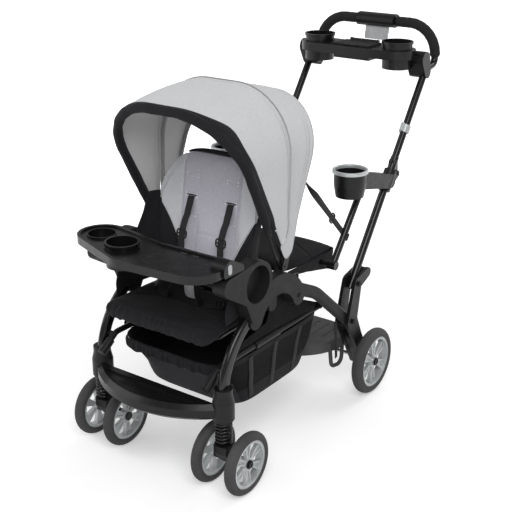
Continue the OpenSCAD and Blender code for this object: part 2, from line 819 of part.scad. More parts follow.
module child_tray() {
    cup_floor = tray_h - 54;
    well_floor = tray_low + wall;
    deck = tray_h - 5;
    color(black_satin) placed() difference() {
        union() {
            difference() {
                translate([0, 0, tray_low]) linear_extrude(tray_h - tray_low) tray_outline(0);
                translate([0, 0, tray_low - 1]) linear_extrude(deck - tray_low - wall + 1)
                    tray_outline(wall);
                translate([0, 0, deck]) linear_extrude(10) tray_outline(9);
            }
            well(tray_cup, cup_floor - wall, tray_h - cup_floor + wall + 8, tray_cup[2] + wall);
            well(tray_cup, tray_h + 2, 6, tray_cup[2] + wall + 3);
            well(tray_well, well_floor - wall, tray_h - well_floor + wall, tray_well[2] + wall);
            tray_end();
        }
        well(tray_cup, cup_floor, 100, tray_cup[2]);
        well(tray_well, well_floor, 100, tray_well[2]);
        translate([tray_pivot[0], tray_pivot[1], tray_low - 2]) cylinder(h = 30, r = tray_pin_r + run);
        for (x = [66, 104]) translate([x, 4, deck - 10]) linear_extrude(30) rotate(90) oval(7, 24);
        side(tray_face - release_depth, tray_face + 7) translate(release_p)
            oval(14 + 2 * seat, 26 + 2 * seat);
    }
}

module tray_release() {
    color(silver) placed() side(tray_face - release_depth + 4, tray_face + 2)
        translate(release_p) oval(14, 26);
}

// Folding rear frame

plate_gap = max(oval_half, upright_r) + 0.6;
leg_bend_p = 0.6 * fold_p + 0.4 * axle_p;
brake_p = axle_p + [22, 37];
brake_r = 5;
board_back = wheelbase + 14;
board_t_low = 36;
bolt_r = 5;

module at_hinge() translate([0, hinge_p[0], hinge_p[1]]) rotate([-rake, 0, 0]) children();

module leg_plate() {
    link(axle_p, leg_bend_p, 20, 21);
    link(leg_bend_p, fold_p, 21, 26);
    link(fold_p, foot_p, 26, 20);
    link(foot_p, knob_p, 20, 15);
}

module rear_legs() {
    inner = frame_x - plate_gap;
    outer = frame_x + plate_gap;
    color(black_satin) placed() pair() difference() {
        union() {
            side(inner - plate_t, inner) leg_plate();
            side(outer, outer + plate_t) leg_plate();
            side(inner, outer) {
                link(axle_p, leg_bend_p, 20, 18);
                translate(knob_p) circle(13);
            }
            side(inner - plate_t, inner + 6) link(brake_p, axle_p + [-20, 44], 11, 14);
            cross_rod(inner - plate_t - 3, outer + plate_t + 2, fold_p, fold_pin_r);
            cross_rod(inner - plate_t - 3, outer + plate_t + 2, foot_p, bolt_r);
        }
        cross_rod(inner - plate_t - 5, outer + plate_t + 5, axle_p, rear_axle_r + seat / 2);
        cross_rod(inner - plate_t - 5, inner + 10, brake_p, brake_r + run);
    }
}

module lower_uprights() {
    color(black_satin) placed() pair() difference() {
        at_hinge() translate([frame_x, 0, -upright_len])
            cylinder(h = upright_len - upright_stop, r = upright_r);
        cross_rod(frame_x - 40, frame_x + 40, foot_p, bolt_r + seat / 2);
    }
}

module post_run(r) {
    round_run([[frame_x, post_low[0], post_low[1]], [frame_x, post_high[0], post_high[1]]], [], r);
}

module front_posts() {
    color(black_satin) placed() pair() {
        post_run(post_r);
        cross_rod(frame_x - post_r - 2, frame_x + post_r + 2, post_low, post_r + 3);
    }
}

side_cup = [frame_x + 8, 560, 724];
side_cup_depth = 66;
button_p = [604, 676];
button_r = 6;
bracket_face = frame_x + 18;

module side_cup_bowl(grow) {
    low = side_cup[2] - side_cup_depth;
    translate([side_cup[0], side_cup[1], low - grow]) {
        cylinder(h = 30 + grow, r1 = side_cup_r - 8 + grow, r2 = side_cup_r - 2 + grow);
        translate([0, 0, 30 + grow - 0.01])
            cylinder(h = side_cup_depth - 30 + 0.01, r = side_cup_r - 2 + grow);
    }
}

module cup_brackets() {
    arm_front = [624, 684];
    arm_back = hinge_p - 34 * [sin(rake), cos(rake)];
    color(black_satin) placed() pair() {
        difference() {
            union() {
                side_cup_bowl(wall);
                side(frame_x - 14, bracket_face) link(arm_front, arm_back, 25, 21);
                at_hinge() translate([frame_x, 0, -66]) cylinder(h = 66, r = upright_r + 7);
                at_hinge() for (x = [frame_x - ear_out, frame_x + ear_in])
                    side(x, x + ear_out - ear_in) link([knuckle, -1], [2, -36], ear_r - 0.5, 13);
            }
            translate([0, 0, 0.02]) side_cup_bowl(0);
            at_hinge() translate([frame_x, 0, -100]) cylinder(h = 140, r = upright_r + seat / 2);
            at_hinge() side(frame_x - ear_in, frame_x + ear_in) {
                translate([knuckle, 0]) circle(ear_r + seat);
                link([knuckle, 0], [0, 24], ear_r, 12.5);
            }
            post_run(post_r + seat / 2);
            cross_rod(bracket_face - 7, bracket_face + 22, button_p, button_r + run);
        }
        at_hinge() cross_rod(frame_x - ear_out - 2, frame_x + ear_out + 2, [knuckle, 0], knuckle_pin_r);
    }
}

module cup_rims() {
    color(silver) placed() pair() translate([side_cup[0], side_cup[1], side_cup[2] + seat])
        rotate_extrude() {
            translate([side_cup_r - 2, 0]) square([wall + 5, 6]);
            translate([side_cup_r + wall / 2 + 0.5, 6]) circle(wall / 2 + 2.5);
        }
}

module fold_button() {
    color(red) placed() cross_rod(bracket_face - 3.5, bracket_face + 4, button_p, button_r);
}
module fold_button_left() fold_button();
module fold_button_right() mirror([1, 0, 0]) fold_button();

module board_outline(inset) {
    middle = wheelbase - 46;
    intersection() {
        union() {
            translate([0, middle]) circle(board_r - inset, $fn = 96);
            translate([inset + ease - board_r, middle]) square([2 * (board_r - inset - ease), board_r]);
        }
        translate([-2 * board_r, middle - 2 * board_r])
            square([4 * board_r, board_back - inset - middle + 2 * board_r]);
    }
}

module standing_board() {
    low = board_h - board_t_low;
    reach = frame_x - plate_gap - plate_t - seat;
    loop_x = board_r - 14;
    color(charcoal) placed() {
        difference() {
            translate([0, 0, low]) linear_extrude(board_t_low) board_outline(0);
            translate([0, 0, low - 1]) linear_extrude(board_t_low - wall + 1) board_outline(wall);
            for (i = [-4 : 4]) translate([i * 34, wheelbase - 60, board_h - 1.6])
                linear_extrude(3) oval(8, 96);
        }
        cross_rod(-reach, reach, [wheelbase - 36, low + 14], 8);
        pair() round_run([[loop_x, wheelbase - 112, low + 30], [loop_x, wheelbase - 98, low - 56],
            [loop_x, wheelbase - 40, low - 68], [loop_x, wheelbase - 36, low + 14]], [22, 22], 6);
    }
}

module rear_axle() {
    wheel_x = rear_track / 2;
    collar_in = frame_x + plate_gap + plate_t + seat;
    color(steel) placed() {
        cross_rod(-wheel_x - 12, wheel_x + 12, axle_p, rear_axle_r);
        pair() {
            cross_rod(collar_in, wheel_x - 13 - seat, axle_p, rear_axle_r + 5);
            cross_rod(wheel_x + 9 + seat, wheel_x + 14, axle_p, rear_axle_r + 8);
        }
    }
}

module brake_bar() {
    inner = frame_x - plate_gap;
    color(black_satin) placed() {
        cross_rod(-inner - 5, inner + 5, brake_p, brake_r);
        pair() translate([inner - plate_t - 62, brake_p[0], brake_p[1]]) {
            rotate([0, 90, 0]) cylinder(h = 58, r = brake_r + 4);
            translate([0, 6, -3]) cube([58, 34, 7]);
            for (i = [0 : 3]) translate([6 + i * 13, 12, 3]) cube([6, 26, 3]);
        }
    }
}

// Wheels, drawn with the axle along Z and the outer face towards +Z

module tyre(r, w, rim_r) {
    rotate_extrude($fn = 96) {
        translate([rim_r, -w / 2]) square([r - w / 2 - rim_r, w]);
        translate([r - w / 2, 0]) intersection() {
            circle(w / 2);
            translate([0, -w]) square([w, 2 * w]);
        }
    }
}

// A spoke's outline between two radii, with its half width at each
module paddle(r_in, r_out, half_in, half_out) {
    polygon([[r_in, -half_in], [r_out, -half_out], [r_out, half_out], [r_in, half_in]]);
}

module rim(r, w, hub_r, bore, hub_in, hub_out) {
    ring_in = r - 9;
    difference() {
        union() {
            rotate_extrude($fn = 96) translate([ring_in, -0.4 * w])
                square([r - ring_in - seat / 2, 0.8 * w]);
            translate([0, 0, -hub_in]) cylinder(h = hub_in + hub_out, r = hub_r);
            for (i = [0 : 5]) rotate(60 * i) translate([0, 0, -5]) linear_extrude(11)
                paddle(hub_r - 3, ring_in + 1, 0.28 * hub_r, 0.21 * r);
        }
        translate([0, 0, -w]) cylinder(h = 2 * w, r = bore);
        for (i = [0 : 5]) rotate(60 * i) translate([0, 0, 3]) linear_extrude(10)
            paddle(hub_r + 5, ring_in - 5, 1.4, 0.1 * r);
    }
}

front_rim_r = front_r - 21;
rear_rim_r = rear_r - 24;
front_hub_in = twin_gap / 2 - 42;

module facing(x, s) translate([x, 0, front_r]) rotate([0, 90 * s, 0]) children();
module front_tyre(x, s) color(rubber) placed() facing(x, s) tyre(front_r, front_wheel_w, front_rim_r);
module front_rim(x, s) color(silver) placed() facing(x, s)
    rim(front_rim_r, front_wheel_w, 17, front_axle_r + run, front_hub_in, 8);
module at_rear(s) translate([s * rear_track / 2, wheelbase, rear_r]) rotate([0, 90 * s, 0]) children();
module rear_tyre(s) color(rubber) placed() at_rear(s) tyre(rear_r, rear_wheel_w, rear_rim_r);
module rear_rim(s) color(silver) placed() at_rear(s)
    rim(rear_rim_r, rear_wheel_w, 20, rear_axle_r + run, 13, 9);

outer_x = kingpin_x + twin_gap / 2;
inner_x = kingpin_x - twin_gap / 2;
module front_tyre_left_outer() front_tyre(outer_x, 1);
module front_tyre_left_inner() front_tyre(inner_x, -1);
module front_tyre_right_outer() front_tyre(-outer_x, -1);
module front_tyre_right_inner() front_tyre(-inner_x, 1);
module front_rim_left_outer() front_rim(outer_x, 1);
module front_rim_left_inner() front_rim(inner_x, -1);
module front_rim_right_outer() front_rim(-outer_x, -1);
module front_rim_right_inner() front_rim(-inner_x, 1);
module rear_tyre_left() rear_tyre(1);
module rear_tyre_right() rear_tyre(-1);
module rear_rim_left() rear_rim(1);
module rear_rim_right() rear_rim(-1);

// Casters

bore_low = spring_low - suspension_travel - 18;

module caster_stem() {
    color(steel) placed() translate([kingpin_x, kingpin_y, 0]) {
        translate([0, 0, spring_low - 16]) cylinder(h = stem_top - spring_low + 16, r = stem_r);
        translate([0, 0, spring_high]) cylinder(h = collar_t, r = collar_r);
    }
}

module caster_fork() {
    web = 20;
    boss_half = twin_gap / 2 - front_hub_in - seat;
    color(black_satin) placed() difference() {
        union() {
            translate([kingpin_x, kingpin_y, spring_low - 4]) cylinder(h = 4, r = collar_r);
            side(kingpin_x - web, kingpin_x + web) {
                link([kingpin_y, spring_low - 20], [0, front_r], 18, 16);
                translate([kingpin_y - 18, spring_low - 24]) square([36, 22]);
            }
            cross_rod(kingpin_x - boss_half, kingpin_x + boss_half, [0, front_r], 14);
            cross_rod(kingpin_x - twin_gap / 2 - 10, kingpin_x + twin_gap / 2 + 10,
                [0, front_r], front_axle_r);
            for (s = [-1, 1]) translate([kingpin_x + s * (twin_gap / 2 + 8 + seat), 0, front_r])
                rotate([0, 90 * s, 0]) cylinder(h = 4, r = 12);
        }
        translate([kingpin_x, kingpin_y, bore_low]) cylinder(h = 100, r = stem_r + run);
    }
}

// A spring is one helix, measured on its own points for the least gap between neighbouring turns
wire_sides = 6;
turn_rings = 8;
spring_rise = spring_len - 2 * spring_wire_r - 2 * seat;
function spring_at(t) = [spring_r * cos(360 * t), spring_r * sin(360 * t),
    spring_low + seat + spring_wire_r + spring_rise * t / spring_turns];
function wire_ring(t) = let (c = spring_at(t), out = [cos(360 * t), sin(360 * t), 0])
    [for (k = [0 : wire_sides - 1]) let (a = 360 * k / wire_sides)
        c + spring_wire_r * (cos(a) * out + sin(a) * [0, 0, 1])];
spring_gap = min([for (i = [0 : turn_rings])
    norm(spring_at(1 + i / turn_rings) - spring_at(i / turn_rings))]) - 2 * spring_wire_r;

module caster_spring() {
    echo(least_gap_between_spring_turns = spring_gap);
    color(black_satin) placed() translate([kingpin_x, kingpin_y, 0])
        skin([for (i = [0 : turn_rings * spring_turns]) wire_ring(i / turn_rings)]);
}

module caster_stem_left() caster_stem();
module caster_stem_right() mirror([1, 0, 0]) caster_stem();
module caster_spring_left() caster_spring();
module caster_spring_right() mirror([1, 0, 0]) caster_spring();
module caster_fork_left() caster_fork();
module caster_fork_right() mirror([1, 0, 0]) caster_fork();

// Push handle

module handle_run(r) round_run(handle_path, handle_bends, r);

module handle_tube() {
    color(black_satin) placed() {
        difference() {
            union() {
                handle_run(handle_r);
                pair() at_hinge() {
                    translate([frame_x, 0, 0]) cylinder(h = 42, r = upright_r + 0.5);
                    side(frame_x - ear_in + seat, frame_x + ear_in - seat)
                        link([knuckle, 0], [0, 24], ear_r - 0.5, 12);
                }
            }
            pair() at_hinge() {
                translate([frame_x - 30, -40, -20 + seat]) cube([60, 52.6, 20]);
                cross_rod(frame_x - 30, frame_x + 30, [knuckle, 0], knuckle_pin_r + run);
            }
        }
    }
}

module handle_grips() {
    down = unit(handle_knee - handle_top);
    grip_drop = 96;
    path = [[pod_half + seat, handle_top[1], handle_top[2]], handle_top, handle_top + grip_drop * down];
    color(black_cloth) placed() pair() difference() {
        round_run(path, [handle_bends[2]], grip_d / 2);
        round_run([path[0] - [5, 0, 0], path[1], path[2] + 5 * down], [handle_bends[2]],
            handle_r + seat / 2);
    }
}

trigger_half = 38;
trigger_d = 16;

module handle_pod() {
    y = handle_top[1];
    r = pod_h / 2;
    color(black_satin) placed() difference() {
        side(-pod_half, pod_half)
            link([y - pod_d / 2 + r, handle_h], [y + pod_d / 2 - r, handle_h + 1], r, r);
        handle_run(handle_r + seat / 2);
        translate([-trigger_half - seat, y - trigger_d / 2 - seat, handle_h - 60])
            cube([2 * (trigger_half + seat), trigger_d + 2 * seat, 60 - handle_r - 0.5]);
    }
}

module fold_trigger() {
    y = handle_top[1];
    top = handle_h - handle_r - 8;
    color(silver) placed() {
        translate([-trigger_half, y - trigger_d / 2, top - 22]) cube([2 * trigger_half, trigger_d, 22]);
        translate([0, 0, top - 40]) linear_extrude(20)
            link([12 - trigger_half, y - 4], [trigger_half - 12, y - 4], 14, 14);
    }
}

module console_outline(inset) {
    link([-console_cup[0], console_cup[1]], console_cup, console_end - inset, console_end - inset);
}

lid_axis = [lid_back + 6, console_h + 6];
lid_t = 5;

// The arm that carries the console clasps the handle tube at its lower bend
module console_lug() {
    clasp = [handle_bend[1] - 9, handle_bend[2] - 6];
    difference() {
        side(frame_x - 42, frame_x + 14) link([980, console_h - 30], clasp, 24, 18);
        round_run([handle_bend - 90 * unit(handle_bend - handle_path[0]), handle_bend, handle_knee],
            [handle_bends[0]], handle_r + seat / 2);
    }
}

module parent_console() {
    rim_top = console_h + 23;
    cup_floor = rim_top - cup_depth;
    deck_low = console_h - 27;
    box_depth = 40;
    color(black_satin) placed() {
        difference() {
            union() {
                difference() {
                    translate([0, 0, deck_low]) linear_extrude(console_h - deck_low) console_outline(0);
                    translate([0, 0, deck_low - 1]) linear_extrude(console_h - deck_low - wall + 1)
                        console_outline(wall);
                }
                pair() {
                    translate([console_cup[0], console_cup[1], cup_floor - wall])
                        cylinder(h = cup_depth + wall, r = cup_r + wall);
                    translate([console_cup[0], console_cup[1], rim_top - 7])
                        cylinder(h = 7, r = cup_r + wall + 3);
                    console_lug();
                    side(44, 50) link([lid_axis[0], console_h - 4], lid_axis, 6, 6);
                }
                translate([-lid_half, lid_front, console_h - box_depth])
                    cube([2 * lid_half, lid_back - lid_front, box_depth]);
            }
            pair() translate([console_cup[0], console_cup[1], cup_floor]) cylinder(h = 200, r = cup_r);
            translate([wall - lid_half, lid_front + wall, console_h - box_depth + wall])
                cube([2 * (lid_half - wall), lid_back - lid_front - 2 * wall, 80]);
        }
        cross_rod(-47, 47, lid_axis, 2.4);
    }
}

module console_lid() {
    color(charcoal) placed() difference() {
        union() {
            translate([0, 0, console_h + seat]) linear_extrude(lid_t)
                translate([-lid_half, lid_front - 4]) square([2 * lid_half, lid_back - lid_front + 4]);
            side(-43, 43) link(lid_axis, [lid_back - 4, console_h + seat + 3], 5, 2.6);
            side(-24, 24)
                link([lid_front - 5, console_h + 2], [lid_front - 5, console_h + seat + 3], 2, 2.2);
        }
        cross_rod(-60, 60, lid_axis, 2.4 + run);
    }
}

module storage_clip() {
    color(silver) placed() at_hinge() translate([frame_x, 0, 122]) difference() {
        union() {
            cylinder(h = 24, r = handle_r + 5);
            translate([-4, -handle_r - 16, 0]) cube([8, 16, 24]);
        }
        translate([0, 0, -1]) cylinder(h = 30, r = handle_r + seat / 2);
        translate([-30, 5, -1]) cube([60, 30, 30]);
    }
}

front_legs();
hub_left();
hub_right();
arch_tubes();
footrest();
caster_housings();
basket_rails();
basket();
seat_frame();
seat_cushion();
bench_frame();
bench_seat();
canopy_rear_bow();
canopy_rear_panel();
crotch_strap();
harness_buckle();
seat_back_board();
seat_back_pad();
shoulder_belts();
canopy_mid_bow();
canopy_front_bow();
canopy_front_panel();
canopy_binding();
child_tray();
tray_release();
rear_legs();
lower_uprights();
cup_brackets();
cup_rims();
front_posts();
standing_board();
rear_axle();
fold_button_left();
fold_button_right();
brake_bar();
rear_tyre_left();
rear_rim_left();
rear_tyre_right();
rear_rim_right();
handle_tube();
handle_grips();
handle_pod();
fold_trigger();
parent_console();
console_lid();
storage_clip();
caster_stem_left();
caster_spring_left();
caster_fork_left();
caster_stem_right();
caster_spring_right();
caster_fork_right();
front_tyre_left_outer();
front_rim_left_outer();
front_tyre_left_inner();
front_rim_left_inner();
front_tyre_right_outer();
front_rim_right_outer();
front_tyre_right_inner();
front_rim_right_inner();
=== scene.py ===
"""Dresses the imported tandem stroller: cloth, pads, webbing, foam, tyres and finishes, with its stage."""

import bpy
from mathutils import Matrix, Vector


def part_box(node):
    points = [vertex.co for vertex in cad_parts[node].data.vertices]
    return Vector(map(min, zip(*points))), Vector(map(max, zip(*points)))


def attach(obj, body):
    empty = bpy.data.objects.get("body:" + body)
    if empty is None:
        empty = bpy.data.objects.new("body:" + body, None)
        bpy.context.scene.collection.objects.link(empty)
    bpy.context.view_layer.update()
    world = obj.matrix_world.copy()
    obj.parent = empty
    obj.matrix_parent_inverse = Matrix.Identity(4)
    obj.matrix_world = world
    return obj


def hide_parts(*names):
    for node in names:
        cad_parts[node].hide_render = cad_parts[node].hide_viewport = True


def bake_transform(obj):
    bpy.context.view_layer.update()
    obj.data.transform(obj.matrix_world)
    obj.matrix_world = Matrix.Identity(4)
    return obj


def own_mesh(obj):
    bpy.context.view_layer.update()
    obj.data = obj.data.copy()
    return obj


bl_info = {
    "name": "Tandem Stroller Dressing",
    "version": (1, 0, 0),
    "blender": (4, 5, 0),
    "location": "View3D > Sidebar > Stroller",
    "description": "Sews the soft goods onto the packed stroller frame and gives every part its finish",
    "category": "Object",
}

import math

import bpy
import numpy as np
from mathutils import Vector
from mathutils.bvhtree import BVHTree

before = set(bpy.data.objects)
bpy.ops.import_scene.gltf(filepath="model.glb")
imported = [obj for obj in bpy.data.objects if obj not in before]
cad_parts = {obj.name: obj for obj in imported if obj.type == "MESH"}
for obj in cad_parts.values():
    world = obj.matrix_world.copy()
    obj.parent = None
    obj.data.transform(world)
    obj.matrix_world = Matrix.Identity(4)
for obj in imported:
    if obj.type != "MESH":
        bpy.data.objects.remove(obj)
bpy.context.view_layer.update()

MM = 0.001
TYRE_LOW, TYRE_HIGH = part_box("front_tyre_left_outer")
AXLE_Y = (TYRE_LOW[1] + TYRE_HIGH[1]) / 2


def at(x, y, z):
    """A point in metres from millimetres, with y measured back from the front axle."""
    return Vector((x * MM, y * MM + AXLE_Y, z * MM))


def local_mm(co):
    """An array of points in metres as millimetres across, back from the front axle and up."""
    return co[:, 0] / MM, (co[:, 1] - AXLE_Y) / MM, co[:, 2] / MM


def sind(a):
    return math.sin(math.radians(a))


def cosd(a):
    return math.cos(math.radians(a))


# Meshes


def added(name, data):
    """A new object for the data, in the scene."""
    obj = bpy.data.objects.new(name, data)
    bpy.context.scene.collection.objects.link(obj)
    return obj


def mesh_object(name, points, faces, loop_uvs=None):
    """A smooth-shaded mesh object at the origin, with an optional UV for every face corner."""
    mesh = bpy.data.meshes.new(name)
    mesh.from_pydata([tuple(p) for p in points], [], faces)
    if loop_uvs is not None:
        layer = mesh.uv_layers.new(name="UVMap")
        layer.data.foreach_set("uv", np.asarray(loop_uvs, np.float32).ravel())
    mesh.polygons.foreach_set("use_smooth", [True] * len(mesh.polygons))
    mesh.validate()
    mesh.update()
    return added(name, mesh)


def lofted(name, rings, around=True, caps=True):
    """A skin over rings of points, with UVs in metres along and across it."""
    rings = [[Vector(p) for p in ring] for ring in rings]
    rows, count = len(rings), len(rings[0])
    middle = rings[rows // 2]
    steps = [(middle[(j + 1) % count] - middle[j]).length for j in range(count)]
    across = np.concatenate([[0], np.cumsum(steps)])
    along = np.concatenate([[0], np.cumsum([
        sum((rings[i + 1][j] - rings[i][j]).length for j in range(count)) / count for i in range(rows - 1)
    ])])
    points = [p for ring in rings for p in ring]
    faces, uvs = [], []
    for i in range(rows - 1):
        for j in range(count if around else count - 1):
            k = (j + 1) % count
            corners = [(i, j, j), (i, k, j + 1), (i + 1, k, j + 1), (i + 1, j, j)]
            faces.append([a * count + b for a, b, _ in corners])
            uvs += [(across[c], along[a]) for a, _, c in corners]
    if around and caps:
        for i, first in ((0, True), (rows - 1, False)):
            points.append(sum(rings[i], Vector()) / count)
            for j in range(count):
                k = (j + 1) % count
                a, b = (k, j) if first else (j, k)
                faces.append([i * count + a, i * count + b, len(points) - 1])
                uvs += [(across[a], along[i]), (across[b], along[i]), (across[j], along[i])]
    return mesh_object(name, points, faces, uvs)


def run_length(points):
    """The length of a polyline."""
    co = np.array([tuple(p) for p in points])
    return float(np.linalg.norm(np.diff(co, axis=0), axis=1).sum())


def face_out(obj, way, index=None):
    """Flips the skin if its middle face, or the one at index, looks against way(its centre)."""
    faces = obj.data.polygons
    face = faces[len(faces) // 2 if index is None else index]
    if face.normal.dot(way(face.center)) < 0:
        obj.data.flip_normals()


def rounded_path(points, radii, step=6 * MM):
    """Points along a path whose corners are rounded to the given radii, in metres."""
    points = [Vector(p) for p in points]
    out = [points[0]]
    for i in range(1, len(points) - 1):
        before = (points[i] - points[i - 1]).normalized()
        after = (points[i + 1] - points[i]).normalized()
        turn = before.angle(after, 0.0)
        if turn < 1e-4 or radii[i - 1] <= 0:
            out.append(points[i])
            continue
        cut = radii[i - 1] * math.tan(turn / 2)
        inward = (after - before * after.dot(before)).normalized()
        centre = points[i] - before * cut + inward * radii[i - 1]
        count = max(3, int(radii[i - 1] * turn / step))
        for k in range(count + 1):
            a = turn * k / count
            out.append(centre + radii[i - 1] * (before * math.sin(a) - inward * math.cos(a)))
    out.append(points[-1])
    return even_path(out, step)


def even_path(points, step):
    """The same polyline with points at an even spacing."""
    co = np.array([tuple(p) for p in points])
    run = np.concatenate([[0], np.cumsum(np.linalg.norm(np.diff(co, axis=0), axis=1))])
    count = max(2, int(round(run[-1] / step)) + 1)
    where = np.linspace(0, run[-1], count)
    return [Vector([np.interp(w, run, co[:, k]) for k in range(3)]) for w in where]


def path_frames(points):
    """Tangent and two normals at each point, turned as little as possible along the way."""
    n = len(points)
    frames = []
    normal = None
    for i in range(n):
        tangent = (points[min(i + 1, n - 1)] - points[max(i - 1, 0)]).normalized()
        if normal is None:
            normal = tangent.orthogonal().normalized()
        normal = (normal - tangent * normal.dot(tangent)).normalized()
        frames.append((tangent, normal, tangent.cross(normal)))
    return frames


def tube(name, points, radius, sides=12, caps=True):
    """A round tube along points; radius is a number or a function of the share of the way along."""
    rings = []
    last = len(points) - 1
    for i, (_, a, b) in enumerate(path_frames(points)):
        r = radius(i / last) if callable(radius) else radius
        rings.append([points[i] + r * (a * math.cos(t) + b * math.sin(t))
                      for t in np.linspace(0, 2 * math.pi, sides, endpoint=False)])
    return lofted(name, rings, caps=caps)


def ribbon(name, points, wide, width, thick):
    """A flat strap along points, with its width along wide, and softened edges."""
    half, t = width / 2, thick / 2
    section = [(-half, -t * 0.4), (-half + t, -t), (0, -t), (half - t, -t), (half, -t * 0.4),
               (half, t * 0.4), (half - t, t), (0, t), (-half + t, t), (-half, t * 0.4)]
    rings = []
    for i, (tangent, _, _) in enumerate(path_frames(points)):
        w = wide[i] if isinstance(wide, list) else wide
        w = (w - tangent * w.dot(tangent)).normalized()
        up = w.cross(tangent)
        rings.append([points[i] + w * a + up * b for a, b in section])
    return lofted(name, rings)


def joined(name, objects):
    """One object from several, with their materials and UVs."""
    points, faces, uvs, slots, indices = [], [], [], [], []
    for o in objects:
        base = len(points)
        points += [v.co.copy() for v in o.data.vertices]
        layer = o.data.uv_layers.active
        for p in o.data.polygons:
            faces.append([base + v for v in p.vertices])
            uvs += [tuple(layer.data[i].uv) if layer else (0, 0) for i in p.loop_indices]
            m = o.data.materials[p.material_index] if o.data.materials else None
            if m not in slots:
                slots.append(m)
            indices.append(slots.index(m))
    for o in objects:
        bpy.data.objects.remove(o)
    obj = mesh_object(name, points, faces, uvs)
    for m in slots:
        obj.data.materials.append(m)
    obj.data.polygons.foreach_set("material_index", indices)
    return obj


def evaluated_mesh(obj):
    depsgraph = bpy.context.evaluated_depsgraph_get()
    return bpy.data.meshes.new_from_object(obj.evaluated_get(depsgraph))


def settle(obj):
    """Turns the object's live modifiers into plain mesh."""
    mesh = evaluated_mesh(obj)
    obj.modifiers.clear()
    obj.data = mesh
    return obj


def smoothed(obj):
    """One subdivision, kept as plain mesh."""
    m = obj.modifiers.new("smooth", "SUBSURF")
    m.levels = 1
    m.render_levels = 1
    return settle(obj)


def thicken(obj, thickness, lining=0):
    m = obj.modifiers.new("wall", "SOLIDIFY")
    m.thickness = thickness
    m.offset = -1
    m.material_offset = lining
    return settle(obj)


def coordinates(mesh, key="co"):
    """Every vertex's place, or its normal, as rows of an array."""
    values = np.empty(len(mesh.vertices) * 3)
    mesh.vertices.foreach_get(key, values)
    return values.reshape(-1, 3)


def set_coordinates(mesh, co):
    mesh.vertices.foreach_set("co", np.asarray(co, float).ravel())
    mesh.update()


STUFFING_PRESSURE = 4.0
STUFFING_QUALITY = 4
STUFFING_FRAMES = 20


def swell(obj, voxel, cap):
    """Stuffs a closed pad: remeshes it, blows it up with cloth pressure and caps how far a point moves."""
    m = obj.modifiers.new("skin", "REMESH")
    m.mode = "VOXEL"
    m.voxel_size = voxel
    settle(obj)
    obj.data.polygons.foreach_set("use_smooth", [True] * len(obj.data.polygons))
    start = coordinates(obj.data)
    cloth = obj.modifiers.new("stuffing", "CLOTH")
    cloth.settings.use_pressure = True
    cloth.settings.uniform_pressure_force = STUFFING_PRESSURE
    cloth.settings.effector_weights.gravity = 0
    cloth.settings.quality = STUFFING_QUALITY
    cloth.point_cache.frame_start = 1
    cloth.point_cache.frame_end = STUFFING_FRAMES
    for f in range(1, STUFFING_FRAMES + 1):
        bpy.context.scene.frame_set(f)
    blown = evaluated_mesh(obj)
    move = coordinates(blown) - start
    far = np.linalg.norm(move, axis=1, keepdims=True)
    move *= np.minimum(1, cap / np.maximum(far, 1e-9))
    obj.modifiers.clear()
    set_coordinates(obj.data, start + move)
    bpy.data.meshes.remove(blown)
    bpy.context.scene.frame_set(1)
    return smoothed(obj)


def press(obj, depth_at):
    """Moves each vertex in along its normal by depth_at(points), an array of metres."""
    co = coordinates(obj.data)
    set_coordinates(obj.data, co - coordinates(obj.data, "normal") * depth_at(co)[:, None])


def flat_uv(obj, uv_of):
    """Gives every corner a UV in metres from its point."""
    mesh = obj.data
    co = uv_of(coordinates(mesh))
    index = np.empty(len(mesh.loops), np.int64)
    mesh.loops.foreach_get("vertex_index", index)
    layer = mesh.uv_layers.active or mesh.uv_layers.new(name="UVMap")
    layer.data.foreach_set("uv", co[index].astype(np.float32).ravel())


def zoned(obj, materials, zone_of):
    """Gives every face one of several materials by where its centre lies."""
    mesh = obj.data
    mesh.materials.clear()
    for m in materials:
        mesh.materials.append(m)
    centres = np.empty(len(mesh.polygons) * 3)
    mesh.polygons.foreach_get("center", centres)
    mesh.polygons.foreach_set("material_index", zone_of(centres.reshape(-1, 3)).astype(np.int32))
    mesh.update()


def clothe(obj, material):
    obj.data.materials.clear()
    obj.data.materials.append(material)
    return obj


def cast(obj):
    """A function that drops a point onto the object along a direction."""
    tree = BVHTree.FromPolygons([v.co for v in obj.data.vertices], [p.vertices for p in obj.data.polygons])
    run_up = 0.3

    def onto(point, direction):
        hit = tree.ray_cast(point - direction * run_up, direction)[0]
        if hit is None:
            raise RuntimeError("a seam or strap misses " + obj.name)
        return hit

    return onto


def smooth_rows(rows, count):
    """Rows of numbers, drawn as a smooth run of count rows through the given ones."""
    rows = np.array(rows, float)
    slope = np.gradient(rows, axis=0)
    change = np.diff(rows, axis=0)
    for i in range(1, len(rows) - 1):
        slope[i][change[i - 1] * change[i] <= 0] = 0
    out = []
    for w in np.linspace(0, len(rows) - 1, count):
        i = min(int(w), len(rows) - 2)
        s = w - i
        h = (2 * s**3 - 3 * s**2 + 1, s**3 - 2 * s**2 + s, -2 * s**3 + 3 * s**2, s**3 - s**2)
        out.append(h[0] * rows[i] + h[1] * slope[i] + h[2] * rows[i + 1] + h[3] * slope[i + 1])
    return np.array(out)


def power(v, e):
    """A power that keeps the number's sign."""
    return math.copysign(abs(v) ** e, v)


def eased(v):
    """A smooth rise from 0 to 1 as v goes from 0 to 1."""
    v = np.clip(v, 0.0, 1.0)
    return v * v * (3 - 2 * v)


# Finishes


def put(tree, socket, value):
    """Links another node's output to the socket, or sets the socket's value."""
    if isinstance(value, bpy.types.NodeSocket):
        tree.links.new(value, socket)
    else:
        socket.default_value = value


